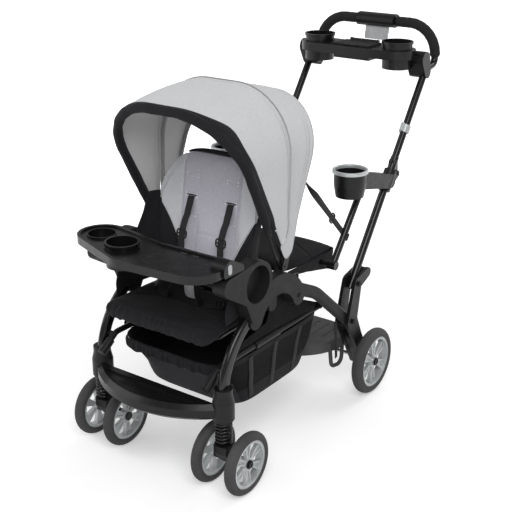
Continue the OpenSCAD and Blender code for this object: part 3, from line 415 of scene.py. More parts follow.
def add_node(tree, kind, settings=None, **inputs):
    """A node with its settings and inputs, which are named, or numbered as i0, i1 and so on."""
    n = tree.nodes.new(kind)
    for key, value in (settings or {}).items():
        setattr(n, key, value)
    for key, value in inputs.items():
        numbered = key[0] == "i" and key[1:].isdigit()
        put(tree, n.inputs[int(key[1:]) if numbered else key.replace("_", " ")], value)
    return n


class Surface:
    """A procedural material under construction."""

    def __init__(self, name):
        self.material = bpy.data.materials.new(name)
        self.material.use_nodes = True
        self.tree = self.material.node_tree
        self.shader = self.tree.nodes["Principled BSDF"]

    def node(self, kind, settings=None, **inputs):
        return add_node(self.tree, "ShaderNode" + kind, settings, **inputs)

    def shade(self, **inputs):
        for key, value in inputs.items():
            put(self.tree, self.shader.inputs[key.replace("_", " ")], value)

    def place(self, kind, scale=(1, 1, 1)):
        source = self.node("TexCoord").outputs[kind]
        return self.node("Mapping", Vector=source, Scale=scale).outputs["Vector"]

    def noise(self, where, scale, detail=2.0):
        return self.node("TexNoise", Vector=where, Scale=scale, Detail=detail).outputs["Fac"]

    def spread(self, value, low, high, start=0.3, end=0.7):
        n = self.node("MapRange", Value=value, From_Min=start, From_Max=end, To_Min=low, To_Max=high)
        return n.outputs["Result"]

    def mix(self, factor, a, b):
        return self.node("Mix", {"data_type": "RGBA"}, i0=factor, i6=a, i7=b).outputs[2]

    def blend(self, factor, a, b):
        return self.node("Mix", {"data_type": "FLOAT"}, i0=factor, i2=a, i3=b).outputs[0]

    def math(self, operation, a, b):
        return self.node("Math", {"operation": operation}, i0=a, i1=b).outputs[0]

    def bump(self, height, strength, distance):
        n = self.node("Bump", Height=height, Strength=strength, Distance=distance)
        self.shade(Normal=n.outputs["Normal"])


def shade_of(colour, factor):
    return tuple(min(1.0, c * factor) for c in colour[:3]) + (1.0,)


def moulded(name, colour, rough, grain=0.12, grain_scale=1400, coat=0.0, metal=0.0, shine=0.25,
            tint=1.0):
    """Moulded plastic or painted metal: fine grain, a drift in gloss and a slight drift in colour."""
    s = Surface(name)
    colour = shade_of(colour, tint)
    where = s.place("Object")
    drift = s.noise(where, 26, 3)
    s.shade(
        Base_Color=s.mix(s.spread(drift, 0, 1), shade_of(colour, 0.9), shade_of(colour, 1.12)),
        Roughness=s.spread(s.noise(where, 60, 4), rough - 0.05, rough + 0.07),
        Metallic=metal, Coat_Weight=coat, Coat_Roughness=0.08, Specular_IOR_Level=shine,
    )
    s.bump(s.noise(where, grain_scale, 2), grain, 0.0003)
    return s.material


def woven(name, colour, dark, light, pitch=0.0009, fleck=0.6, sheen=0.15, rough=0.85, relief=0.35, shine=0.3):
    """Plain-woven cloth on the piece's UVs: threads both ways, with flecked yarn as in heather cloth."""
    s = Surface(name)
    wave_length = 20
    turns = 2 * math.pi / (wave_length * pitch)
    where = s.place("UV")
    warp = s.node("TexWave", {"bands_direction": "X"}, Vector=where, Scale=turns).outputs["Fac"]
    weft = s.node("TexWave", {"bands_direction": "Y"}, Vector=where, Scale=turns).outputs["Fac"]
    threads = s.math("MAXIMUM", warp, weft)
    long_flecks = s.noise(s.place("UV", (90, 900, 1)), 1.0, 3)
    cross_flecks = s.noise(s.place("UV", (900, 90, 1)), 1.0, 3)
    flecks = s.spread(s.math("ADD", long_flecks, cross_flecks), 0.0, 1.0, 0.75, 1.25)
    shadow = s.spread(s.noise(s.place("Object"), 9, 3), 0.35, 0.65)
    tone = s.blend(fleck, shadow, flecks)
    s.shade(Base_Color=s.mix(tone, shade_of(colour, dark), shade_of(colour, light)),
            Roughness=s.spread(threads, rough + 0.06, rough - 0.06, 0.0, 1.0),
            Sheen_Weight=sheen, Sheen_Roughness=0.4, Specular_IOR_Level=shine)
    s.bump(threads, relief, 0.0004)
    return s.material


def netted(name, colour, light, hole_shade=(0.002, 0.002, 0.002, 1), pitch=0.0032):
    """Black knitted mesh: round holes in rows between glossy yarns, the holes painted near black as the shade
    seen through them.
    """
    s = Surface(name)
    where = s.place("UV", (1 / pitch, 1 / pitch, 1))
    cells = s.node("TexVoronoi", {"feature": "F1"}, Vector=where, Scale=1.0, Randomness=0.0)
    yarn = s.spread(cells.outputs["Distance"], 0, 1, 0.26, 0.44)
    # The holes' near-black colour is painted shade of the dark inside seen through the mesh.
    s.shade(Base_Color=s.mix(yarn, hole_shade, shade_of(colour, light)),
            Roughness=s.spread(yarn, 0.9, 0.6, 0, 1), Sheen_Weight=0.02, Specular_IOR_Level=0.06)
    s.bump(yarn, 0.6, 0.0008)
    return s.material


def belting(name, colour, dark, light):
    """Narrow nylon webbing: chevron ribs across the strap and a smooth selvedge."""
    s = Surface(name)
    where = s.place("UV")
    ribs = s.node("TexWave", {"bands_direction": "Y"}, Vector=where, Scale=150).outputs["Fac"]
    yarns = s.node("TexWave", {"bands_direction": "X"}, Vector=where, Scale=190).outputs["Fac"]
    tone = s.math("MULTIPLY", ribs, yarns)
    fray = s.noise(s.place("Object"), 220, 3)
    s.shade(Base_Color=s.mix(s.blend(0.4, tone, fray), shade_of(colour, dark), shade_of(colour, light)),
            Roughness=s.spread(tone, 0.75, 0.5, 0, 1), Sheen_Weight=0.04, Specular_IOR_Level=0.25)
    s.bump(tone, 0.5, 0.0006)
    return s.material


def foamed(name, colour):
    """Closed-cell grip foam: fine pores and a dull skin."""
    s = Surface(name)
    where = s.place("Object")
    pores = s.node("TexVoronoi", Vector=where, Scale=520).outputs["Distance"]
    s.shade(Base_Color=s.mix(s.spread(pores, 0, 1, 0.1, 0.6), shade_of(colour, 0.7), shade_of(colour, 1.25)),
            Roughness=s.spread(s.noise(where, 90), 0.82, 0.95), Specular_IOR_Level=0.2)
    s.bump(pores, 0.35, 0.0005)
    return s.material


def rubbery(name, colour):
    """Tyre rubber with a dusty bloom."""
    s = Surface(name)
    where = s.place("Object")
    bloom = s.noise(where, 14, 4)
    s.shade(Base_Color=s.mix(s.spread(bloom, 0, 1), shade_of(colour, 0.85), shade_of(colour, 1.25)),
            Roughness=s.spread(s.noise(where, 120, 3), 0.62, 0.8), Specular_IOR_Level=0.22)
    s.bump(s.noise(where, 900, 2), 0.2, 0.0004)
    return s.material


def brushed(name, colour, rough):
    """Bare drawn metal with fine lengthwise scratches."""
    s = Surface(name)
    where = s.place("Object", (30, 900, 900))
    scratch = s.noise(where, 1.0, 3)
    s.shade(Base_Color=s.mix(scratch, shade_of(colour, 0.88), shade_of(colour, 1.08)), Metallic=1.0,
            Roughness=s.spread(scratch, rough - 0.08, rough + 0.1))
    s.bump(scratch, 0.05, 0.0002)
    return s.material


# Each finish: its maker, the panel colour that it starts from and the maker's settings
FINISH_TABLE = {
    "gloss_black": (moulded, "frame_black", dict(rough=0.22, grain=0.01, grain_scale=700,
                                                 coat=0.06, shine=0.34)),
    "tray_black": (moulded, "frame_black", dict(rough=0.3, grain=0.004, grain_scale=300,
                                                coat=0.04, shine=0.24)),
    "satin_black": (moulded, "moulding_black", dict(rough=0.4, grain=0.08)),
    "charcoal": (moulded, "charcoal", dict(rough=0.48, grain=0.1, grain_scale=1100, shine=0.15)),
    "tread": (moulded, "charcoal", dict(rough=0.7, grain=0.45, grain_scale=420, shine=0.2, tint=5.0)),
    "silver": (moulded, "silver", dict(rough=0.36, grain=0.05, grain_scale=900,
                                       coat=0.1, metal=0.3, shine=0.5)),
    "red": (moulded, "button_red", dict(rough=0.35, grain=0.06)),
    "pale_grey": (moulded, "release_grey", dict(rough=0.42, grain=0.08)),
    "thread": (moulded, "thread", dict(rough=0.7, grain=0.2, grain_scale=2000)),
    "pale_thread": (moulded, "pale_thread", dict(rough=0.7, grain=0.2, grain_scale=2000)),
    "seam_cloth": (moulded, "canopy_grey", dict(rough=0.85, grain=0.3, grain_scale=1800, tint=0.72)),
    "seam_thread": (moulded, "canopy_grey", dict(rough=0.8, grain=0.2, grain_scale=2000, tint=0.62)),
    "steel": (brushed, "steel", dict(rough=0.3)),
    "tyre": (rubbery, "tyre", {}),
    "foam": (foamed, "foam", {}),
    "black_cloth": (woven, "cloth_black", dict(dark=0.7, light=1.5, pitch=0.0011, fleck=0.5, sheen=0.05,
                                               rough=0.82, relief=0.4, shine=0.12)),
    "front_cloth": (woven, "cloth_black", dict(dark=1.7, light=3.2, pitch=0.0011, sheen=0.06,
                                               rough=0.82, relief=0.4, shine=0.15)),
    "grey_cloth": (woven, "canopy_grey", dict(dark=0.84, light=1.1)),
    "lining": (woven, "lining_grey", dict(dark=0.85, light=1.1)),
    "sleeve": (woven, "lining_grey", dict(dark=0.42, light=0.6)),
    "lilac_cloth": (woven, "lilac", dict(dark=0.8, light=1.16, fleck=0.7)),
    "wing_cloth": (woven, "wing_grey", dict(dark=0.84, light=1.12)),
    "mesh": (netted, "cloth_black", dict(light=0.7)),
    "webbing": (belting, "cloth_black", dict(dark=0.7, light=1.7)),
}
FINISHES = {}


def finish(name):
    """The named finish, made on first use."""
    if name not in FINISHES:
        maker, key, settings = FINISH_TABLE[name]
        FINISHES[name] = maker(name, getattr(bpy.context.scene.stroller_colours, key), **settings)
    return FINISHES[name]


# Repeated pieces, made with Geometry Nodes


def socket_id(tree, name):
    return next(i.identifier for i in tree.interface.items_tree if i.name == name)


def node_tree(name, numbers):
    """A geometry tree with a mesh input, named size inputs and a material input."""
    tree = bpy.data.node_groups.new(name, "GeometryNodeTree")
    tree.interface.new_socket("Geometry", in_out="INPUT", socket_type="NodeSocketGeometry")
    for key, value in numbers.items():
        tree.interface.new_socket(key, in_out="INPUT", socket_type="NodeSocketFloat").default_value = value
    tree.interface.new_socket("Material", in_out="INPUT", socket_type="NodeSocketMaterial")
    tree.interface.new_socket("Geometry", in_out="OUTPUT", socket_type="NodeSocketGeometry")
    return tree, tree.nodes.new("NodeGroupInput"), tree.nodes.new("NodeGroupOutput")


def scatter(tree, source, sink, shape, points, rotation):
    """Puts shape on the points, realizes the copies and gives them their material."""
    copies = add_node(tree, "GeometryNodeInstanceOnPoints", Points=points, Instance=shape, Rotation=rotation)
    real = add_node(tree, "GeometryNodeRealizeInstances", i0=copies.outputs[0])
    coat = add_node(tree, "GeometryNodeSetMaterial", Geometry=real.outputs[0],
                    Material=source.outputs["Material"])
    smooth = add_node(tree, "GeometryNodeSetShadeSmooth", i0=coat.outputs[0])
    tree.links.new(smooth.outputs[0], sink.inputs["Geometry"])


def stitch_tree():
    """Thread stitches laid end to end along a drawn line."""
    if "stitch_run" in bpy.data.node_groups:
        return bpy.data.node_groups["stitch_run"]
    tree, source, sink = node_tree("stitch_run", {"Spacing": 0.006, "Length": 0.004, "Thickness": 0.0006})
    curve = add_node(tree, "GeometryNodeMeshToCurve", i0=source.outputs["Geometry"])
    points = add_node(tree, "GeometryNodeCurveToPoints", {"mode": "LENGTH"}, Curve=curve.outputs[0],
                      Length=source.outputs["Spacing"])
    turn = add_node(tree, "FunctionNodeAlignRotationToVector", {"axis": "Z"},
                    Vector=points.outputs["Tangent"])
    shape = add_node(tree, "GeometryNodeMeshCylinder", Vertices=6, Radius=source.outputs["Thickness"],
                     Depth=source.outputs["Length"])
    scatter(tree, source, sink, shape.outputs["Mesh"], points.outputs["Points"], turn.outputs[0])
    return tree


def screw_tree():
    """Pan-head screws with a dished drive, one on each point, facing along the point's facing."""
    if "screw_heads" in bpy.data.node_groups:
        return bpy.data.node_groups["screw_heads"]
    tree, source, sink = node_tree("screw_heads", {"Radius": 0.005, "Height": 0.002})
    radius, height = source.outputs["Radius"], source.outputs["Height"]

    def share(factor):
        return add_node(tree, "ShaderNodeMath", {"operation": "MULTIPLY"}, i0=radius, i1=factor).outputs[0]

    facing = add_node(tree, "GeometryNodeInputNamedAttribute", {"data_type": "FLOAT_VECTOR"}, Name="facing")
    turn = add_node(tree, "FunctionNodeAlignRotationToVector", {"axis": "Z"}, Vector=facing.outputs[0])
    head = add_node(tree, "GeometryNodeMeshCone", Vertices=20, Radius_Bottom=radius, Radius_Top=share(0.78),
                    Depth=height)
    socket = share(0.42)
    drive = add_node(tree, "GeometryNodeMeshCone", Vertices=6, Radius_Bottom=socket, Radius_Top=socket,
                     Depth=height)
    up = add_node(tree, "ShaderNodeCombineXYZ", Z=height)
    lift = add_node(tree, "ShaderNodeVectorMath", {"operation": "SCALE"}, i0=up.outputs[0], Scale=0.45)
    raised = add_node(tree, "GeometryNodeTransform", Geometry=drive.outputs["Mesh"],
                      Translation=lift.outputs[0])
    cut = add_node(tree, "GeometryNodeMeshBoolean", {"operation": "DIFFERENCE"}, i0=head.outputs["Mesh"],
                   i1=raised.outputs["Geometry"])
    scatter(tree, source, sink, cut.outputs["Mesh"], source.outputs["Geometry"], turn.outputs[0])
    return tree


def grown(obj, tree, material, **numbers):
    """Runs a geometry tree on the object with the given inputs and keeps the result as plain mesh."""
    m = obj.modifiers.new(tree.name, "NODES")
    m.node_group = tree
    for key, value in numbers.items():
        m[socket_id(tree, key)] = value
    m[socket_id(tree, "Material")] = material
    settle(obj)
    if not len(obj.data.polygons):
        raise RuntimeError(obj.name + " grew nothing")
    return obj


def stitched(name, lines, body, thread="thread"):
    """Stitches along drawn lines, riding on a body."""
    sizes = bpy.context.scene.stroller_sizes
    points, edges = [], []
    for line in lines:
        base = len(points)
        points += [tuple(p) for p in line]
        edges += [(base + i, base + i + 1) for i in range(len(line) - 1)]
    mesh = bpy.data.meshes.new(name)
    mesh.from_pydata(points, edges, [])
    stitch_share = 0.66
    obj = grown(added(name, mesh), stitch_tree(), finish(thread), Spacing=sizes.stitch_spacing,
                Length=sizes.stitch_spacing * stitch_share, Thickness=sizes.stitch_thickness)
    return keep(obj, body)


def keep(obj, body, slot=None, *nodes):
    """Rides the piece on a body and hides the solids that it stands for; the finish slot is not used."""
    if body:
        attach(obj, body)
    if nodes:
        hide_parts(*nodes)
    return obj


# Canopy, in millimetres and degrees: its pivot, its bows and the arches that the sheets are cut to

PIVOT = (244.0, 542.0)
BOW_FRONT, BOW_MID, BOW_REAR = 118.0, 88.0, 68.0
SHOULDER = 172.0
BINDING_GAP = 11.5
# Half width and reach of the rear and middle bows' middle line, of the front sheet and of the rear sheet
HOOP = (205.9, 451.9)
FRONT_SHEET = (219.0, 467.4)
REAR_SHEET = (212.6, 460.6)
SHEET_SAG = 3.0
SHEET_COLUMNS = 181
FRONT_ROWS, REAR_ROWS = 34, 22
# Reach from the pivot at which each sheet, seam and sleeve starts
FRONT_LOW, REAR_LOW = 72, 22.5
PIPING_LOW, FRONT_STITCH_LOW, REAR_STITCH_LOW, SLEEVE_LOW = 84, 96, 130, 124
PIPING_POINTS, LINE_POINTS = 161, 121
# How far the rear sheet flares past the bow's arms
REAR_FLARE = 1.3
SLEEVE_RADIUS = 0.0049
# The rear sheet's lower lobe: reach from the pivot, then the angles of its hem and of its front seam
LOBE = np.array([(22, 80, 90), (25, 68, 99), (30, 60, 104), (38, 55, 108), (48, 54, 110), (60, 57, 111),
                 (72, 60, 109), (80, 61.5, 97), (100, 64, 89.5), (120, BOW_REAR - 2, BOW_MID)])
# The lobe's upper stretch, where the front sheet's seam follows it
LOBE_TOP = LOBE[6:]


def swung(x, r, angle):
    """A point on the canopy: across, out from the pivot, and the angle up from straight back."""
    return at(x, PIVOT[0] + r * cosd(angle), PIVOT[1] + r * sind(angle))


def arch(half, top, low, count):
    """Points of an arch as (x, reach), evenly spaced from the left hem over the crown to the right."""
    left = [(half, low), (half, top - SHOULDER)]
    left += [(half - SHOULDER + SHOULDER * cosd(a), top - SHOULDER + SHOULDER * sind(a))
             for a in np.linspace(3, 90, 30)]
    both = left + [(-x, r) for x, r in reversed(left)]
    return [(p[0], p[1]) for p in even_path([(x, r, 0) for x, r in both], run_length(both) / (count - 1))]


def canopy_rings(half, low, top_at, angle_at, rows, flare):
    """Rows of arches over two bows, with sag and drawn creases, flared past the bow arms."""
    rings = []
    for i in range(rows):
        t = i / (rows - 1)
        ring = []
        wide = half(t)
        line = arch(wide, top_at(t), low, SHEET_COLUMNS)
        for j, (x, r) in enumerate(line):
            s = j / (len(line) - 1)
            side = abs(2 * s - 1)
            slack = math.sin(math.pi * t)
            creases = 0.9 * math.sin(23 * s + 5 * t) * math.sin(math.pi * t) ** 2
            creases += 1.3 * math.exp(-(((t - 0.14) / 0.05) ** 2)) * (0.6 + 0.4 * math.sin(31 * s))
            drawn = 1.1 * math.exp(-(((side - 0.96) / 0.1) ** 2)) * math.sin(19 * t + 2 * s)
            inset = (0.4 + 1.6 * slack * (1 - side) + max(0, creases + drawn)) * float(eased((r - 120) / 70))
            lean = x / wide
            x += math.copysign(flare * float(eased((150 - r) / 40)), x)
            ring.append(swung(x - inset * lean * 0.8, r - inset * (1 - abs(lean) * 0.6), angle_at(t, r)))
        rings.append(ring)
    return rings


def hang(name, rows, side, wall, body, cloth="black_cloth"):
    """One sheet of cloth from rows of points, facing out to a side, with its wall."""
    obj = lofted(name, rows, around=False)
    face_out(obj, lambda c: side)
    clothe(obj, finish(cloth))
    thicken(obj, wall)
    keep(obj, body, "black_cloth")
    return obj


def size(name, description, value, low, high):
    return bpy.props.FloatProperty(name=name, description=description, default=value, min=low, max=high,
                                   unit="LENGTH")


def colour(name, description, value):
    return bpy.props.FloatVectorProperty(name=name, description=description, default=value, size=3,
                                         min=0.0, max=1.0, subtype="COLOR")


class StrollerSizes(bpy.types.PropertyGroup):
    """Sizes of the sewn goods."""

    cloth_wall: size("Canopy Cloth", "Thickness of the canopy with its lining", 0.0016, 0.0005, 0.004)
    piping_radius: size("Piping", "Radius of the corded seams", 0.0014, 0.0008, 0.005)
    belt_width: size("Belt Width", "Width of the harness webbing", 0.021, 0.015, 0.04)
    belt_wall: size("Belt Thickness", "Thickness of the webbing", 0.0018, 0.001, 0.003)
    stitch_spacing: size("Stitch Spacing", "Distance from stitch to stitch", 0.0055, 0.002, 0.02)
    stitch_thickness: size("Thread Radius", "Radius of the sewing thread", 0.0006, 0.0002, 0.002)
    voxel: size("Pad Mesh", "Mesh size of the pads while they are stuffed", 0.005, 0.003, 0.01)
    pad_swell: size("Pad Swell", "Most that stuffing moves the seat back's skin", 0.005, 0.0, 0.016)


class StrollerColours(bpy.types.PropertyGroup):
    """Colours of the finishes, as linear values."""

    canopy_grey: colour("Canopy", "Heather cloth of the canopy", (0.575, 0.58, 0.59))
    lining_grey: colour("Lining", "Inside of the canopy", (0.66, 0.66, 0.665))
    lilac: colour("Back Rest", "Middle of the seat back", (0.50, 0.49, 0.55))
    wing_grey: colour("Wings", "Upper wings of the seat back", (0.57, 0.575, 0.60))
    cloth_black: colour("Black Cloth", "Black cloth and webbing", (0.013, 0.0128, 0.0145))
    frame_black: colour("Frame", "Gloss of the front legs and footrest", (0.006, 0.006, 0.0065))
    moulding_black: colour("Mouldings", "Satin black plastic", (0.008, 0.008, 0.0085))
    charcoal: colour("Charcoal", "Matte hubs, arches and board", (0.0145, 0.014, 0.014))
    silver: colour("Silver", "Wheel rims and cup rims", (0.47, 0.49, 0.495))
    release_grey: colour("Release", "Tray release and handle trigger", (0.45, 0.46, 0.47))
    steel: colour("Steel", "Bare rods and bows", (0.60, 0.60, 0.62))
    button_red: colour("Buttons", "Fold buttons", (0.55, 0.01, 0.03))
    tyre: colour("Tyres", "Tyre rubber", (0.06, 0.058, 0.059))
    foam: colour("Grips", "Foam of the grips", (0.016, 0.016, 0.017))
    thread: colour("Thread", "Sewing thread of the seat", (0.42, 0.42, 0.45))
    pale_thread: colour("Bar Tacks", "Thread round the belt slots", (0.8, 0.8, 0.82))
    floor: colour("Floor", "Studio floor", (0.82, 0.82, 0.82))


# Lamps: name, place, target, width in metres and power in watts
LAMPS = (("key", (2.2, -2.6, 3.2), (0, 0, 0.45), 2.6, 95), ("fill", (-3.0, -2.0, 2.2), (0, 0, 0.45), 3.0, 45),
         ("back", (0.6, 3.0, 2.8), (0, 0, 0.6), 2.6, 50))
FLOOR_HALF = 40.0
WORLD_LIGHT = 0.42
# The photograph's view: degrees round and up, metres away, and the point that it looks at
VIEW_AZIMUTH, VIEW_HEIGHT, VIEW_DISTANCE = 35.8, 21.1, 2.9427
VIEW_TARGET = Vector((0, -0.0750, 0.4891))
VIEW_LENS, VIEW_SENSOR = 72, 36
VIEW_SHIFT = (0.003, -0.0096)


def aim(obj, place, target):
    obj.location = place
    obj.rotation_euler = (Vector(target) - Vector(place)).to_track_quat("-Z", "Y").to_euler()


class STROLLER_OT_stage(bpy.types.Operator):
    """Lays the floor, hangs the lights and sets the camera."""

    bl_idname = "stroller.stage"
    bl_label = "Stage"

    def execute(self, context):
        scene = context.scene
        scene.view_settings.view_transform = "Standard"
        self.floor(scene.stroller_colours.floor)
        self.world(scene)
        for name, place, target, width, watts in LAMPS:
            lamp = bpy.data.lights.new(name, "AREA")
            lamp.shape = "DISK"
            lamp.size = width
            lamp.energy = watts
            aim(added(name, lamp), place, target)
        self.camera(scene)
        return {"FINISHED"}

    def floor(self, look):
        """A pale floor that shows white further out, and keeps the shadow."""
        s = Surface("studio_floor")
        tree = s.tree
        tree.nodes.remove(s.shader)
        cloud = s.noise(s.place("Object"), 1.5, 2)
        diffuse = s.node("BsdfDiffuse", Color=s.mix(cloud, shade_of(look, 0.99), shade_of(look, 1.01)))
        ray = s.node("LightPath")
        seen = s.math("MAXIMUM", ray.outputs["Is Camera Ray"], ray.outputs["Is Glossy Ray"])
        seen = s.math("MAXIMUM", seen, ray.outputs["Is Transmission Ray"])
        away = s.node("VectorMath", {"operation": "LENGTH"}, i0=s.place("Object")).outputs["Value"]
        lift = s.spread(away, 0.34, 1.0, 0.9, 2.2)
        glow = s.node("Emission", Color=(1, 1, 1, 1), Strength=s.math("MULTIPLY", seen, lift))
        both = s.node("AddShader", i0=diffuse.outputs[0], i1=glow.outputs[0])
        put(tree, tree.nodes["Material Output"].inputs["Surface"], both.outputs[0])
        corners = [(x * FLOOR_HALF, y * FLOOR_HALF, 0) for x, y in ((-1, -1), (1, -1), (1, 1), (-1, 1))]
        clothe(mesh_object("studio_floor", corners, [(0, 1, 2, 3)]), s.material)

    def world(self, scene):
        """White to the camera and through glass, and a plain level of light elsewhere."""
        world = bpy.data.worlds.new("studio")
        world.use_nodes = True
        tree = world.node_tree
        ray = add_node(tree, "ShaderNodeLightPath")
        seen = add_node(tree, "ShaderNodeMath", {"operation": "MAXIMUM"}, i0=ray.outputs["Is Camera Ray"],
                        i1=ray.outputs["Is Transmission Ray"])
        level = add_node(tree, "ShaderNodeMapRange", Value=seen.outputs[0], To_Min=WORLD_LIGHT, To_Max=1.0)
        ground = tree.nodes["Background"]
        put(tree, ground.inputs["Strength"], level.outputs["Result"])
        put(tree, ground.inputs["Color"], (1, 1, 1, 1))
        scene.world = world

    def camera(self, scene):
        data = bpy.data.cameras.new("photo_view")
        data.lens = VIEW_LENS
        data.sensor_width = VIEW_SENSOR
        data.shift_x, data.shift_y = VIEW_SHIFT
        scene.camera = added("photo_view", data)
        level = cosd(VIEW_HEIGHT)
        towards = Vector((sind(VIEW_AZIMUTH) * level, -cosd(VIEW_AZIMUTH) * level, sind(VIEW_HEIGHT)))
        aim(scene.camera, VIEW_TARGET + VIEW_DISTANCE * towards, VIEW_TARGET)


NODE_FINISHES = {
    "gloss_black": ["front_legs", "lower_uprights", "front_posts", "handle_tube", "bench_frame",
                    "seat_frame"],
    "tray_black": ["child_tray", "footrest", "parent_console"],
    "satin_black": ["caster_housings", "basket_rails", "harness_buckle", "rear_legs", "cup_brackets",
                    "brake_bar", "handle_pod", "caster_fork_left", "caster_fork_right", "caster_stem_left",
                    "caster_stem_right", "canopy_front_bow", "canopy_mid_bow", "canopy_rear_bow"],
    "charcoal": ["hub_left", "hub_right", "arch_tubes", "seat_back_board", "console_lid"],
    "tread": ["standing_board"],
    "silver": ["cup_rims", "storage_clip", "rear_rim_left", "rear_rim_right", "front_rim_left_outer",
               "front_rim_left_inner", "front_rim_right_outer", "front_rim_right_inner"],
    "pale_grey": ["tray_release", "fold_trigger"],
    "red": ["fold_button_left", "fold_button_right"],
    "steel": ["rear_axle"],
}


class STROLLER_OT_finishes(bpy.types.Operator):
    """Gives every solid that stays in view its finish."""

    bl_idname = "stroller.finishes"
    bl_label = "Finishes"

    def execute(self, context):
        for name, nodes in NODE_FINISHES.items():
            for node in nodes:
                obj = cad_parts[node]
                if not obj.material_slots:
                    obj.data.materials.append(None)
                for slot in obj.material_slots:
                    slot.material = finish(name)
        return {"FINISHED"}


class STROLLER_OT_canopy(bpy.types.Operator):
    """Sews the canopy's front and rear sheets with their lining and piped seams."""

    bl_idname = "stroller.canopy"
    bl_label = "Canopy"

    def execute(self, context):
        def front_angle(t, r):
            start = float(np.interp(r, LOBE_TOP[:, 0], LOBE_TOP[:, 2]))
            edge = BOW_FRONT - math.degrees(math.asin(BINDING_GAP / r))
            return start + t * max(edge - start, 0.6)

        def front_half(t):
            return FRONT_SHEET[0] - 3 * float(eased(1.6 * t))

        def front_top(t):
            return FRONT_SHEET[1] - 3.4 * t + 32 * t**1.3 - SHEET_SAG * sind(180 * t)

        def rear_angle(t, r):
            hem, seam = (float(np.interp(r, LOBE[:, 0], LOBE[:, k])) for k in (1, 2))
            return hem + t * (seam + 2.0 * float(eased((r - 110) / 60)) - hem)

        def rear_half(t):
            return REAR_SHEET[0]

        def rear_top(t):
            return REAR_SHEET[1] - SHEET_SAG * sind(180 * t)

        rings = canopy_rings(front_half, FRONT_LOW, front_top, front_angle, FRONT_ROWS, 0.0)
        self.sheet("canopy_front_sheet", rings, "canopy_front", "canopy_front_panel")
        rings = canopy_rings(rear_half, REAR_LOW, rear_top, rear_angle, REAR_ROWS, REAR_FLARE)
        rear = self.sheet("canopy_rear_sheet", rings, None, "canopy_rear_panel")
        cord = context.scene.stroller_sizes.piping_radius
        line = [swung(x * 1.002, r + 1, front_angle(0.0, r))
                for x, r in arch(front_half(0.0), front_top(0.0), PIPING_LOW, PIPING_POINTS)]
        seam = clothe(tube("canopy_front_piping", line, cord, 8), finish("seam_cloth"))
        keep(seam, "canopy_front", "grey_cloth")
        hem = tube("canopy_rear_hem", even_path(rings[0], 6 * MM), cord * 0.75, 8)
        clothe(hem, finish("seam_cloth"))
        lines = [[swung(x, r + 0.2, front_angle(t, r))
                  for x, r in arch(front_half(t), front_top(t) - 1.5, FRONT_STITCH_LOW, LINE_POINTS)]
                 for t in (0.05, 0.09, 0.955)]
        stitched("canopy_front_stitches", lines, "canopy_front", "seam_thread")
        lines = [[swung(x, r + 0.2, rear_angle(t, r))
                  for x, r in arch(rear_half(t) - 0.6, rear_top(t) - 1.8, REAR_STITCH_LOW, LINE_POINTS)]
                 for t in (0.14, 0.24)]
        thread = stitched("canopy_rear_stitches", lines, None, "seam_thread")
        for piece in (rear, hem, thread):
            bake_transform(piece)
        for name, angle, body in (("rear_bow_sleeve", BOW_REAR, "chassis"),
                                  ("mid_bow_sleeve", BOW_MID, "canopy_middle")):
            line = [swung(x, r, angle) for x, r in arch(*HOOP, SLEEVE_LOW, LINE_POINTS)]
            keep(clothe(tube(name, line, SLEEVE_RADIUS, 12), finish("sleeve")), body, "grey_cloth")
        return {"FINISHED"}

    def sheet(self, name, rings, body, node):
        """One lined sheet over the bows."""
        obj = lofted(name, rings, around=False)
        face_out(obj, lambda c: c - at(0, *PIVOT))
        for cloth in ("grey_cloth", "lining"):
            obj.data.materials.append(finish(cloth))
        thicken(obj, bpy.context.scene.stroller_sizes.cloth_wall, 1)
        keep(obj, body, "grey_cloth", node)
        return obj


# Half width of the binding, then how proud and how deep it lies: flat beside the pivot, and round on the bow
BINDING_FLAT = (14.5, 2.15, 7.0)
BINDING_ROUND = (13.0, 12.9, 12.9)
# Reach at which the binding starts to round out, over which length, and length of its rounded tips in metres
ROUND_START, ROUND_RUN = 108, 64
BINDING_TIP = 0.014
# Reach at which the sewn facing starts, and its wall
FACING_START = 124
FACING_WALL = 0.0012


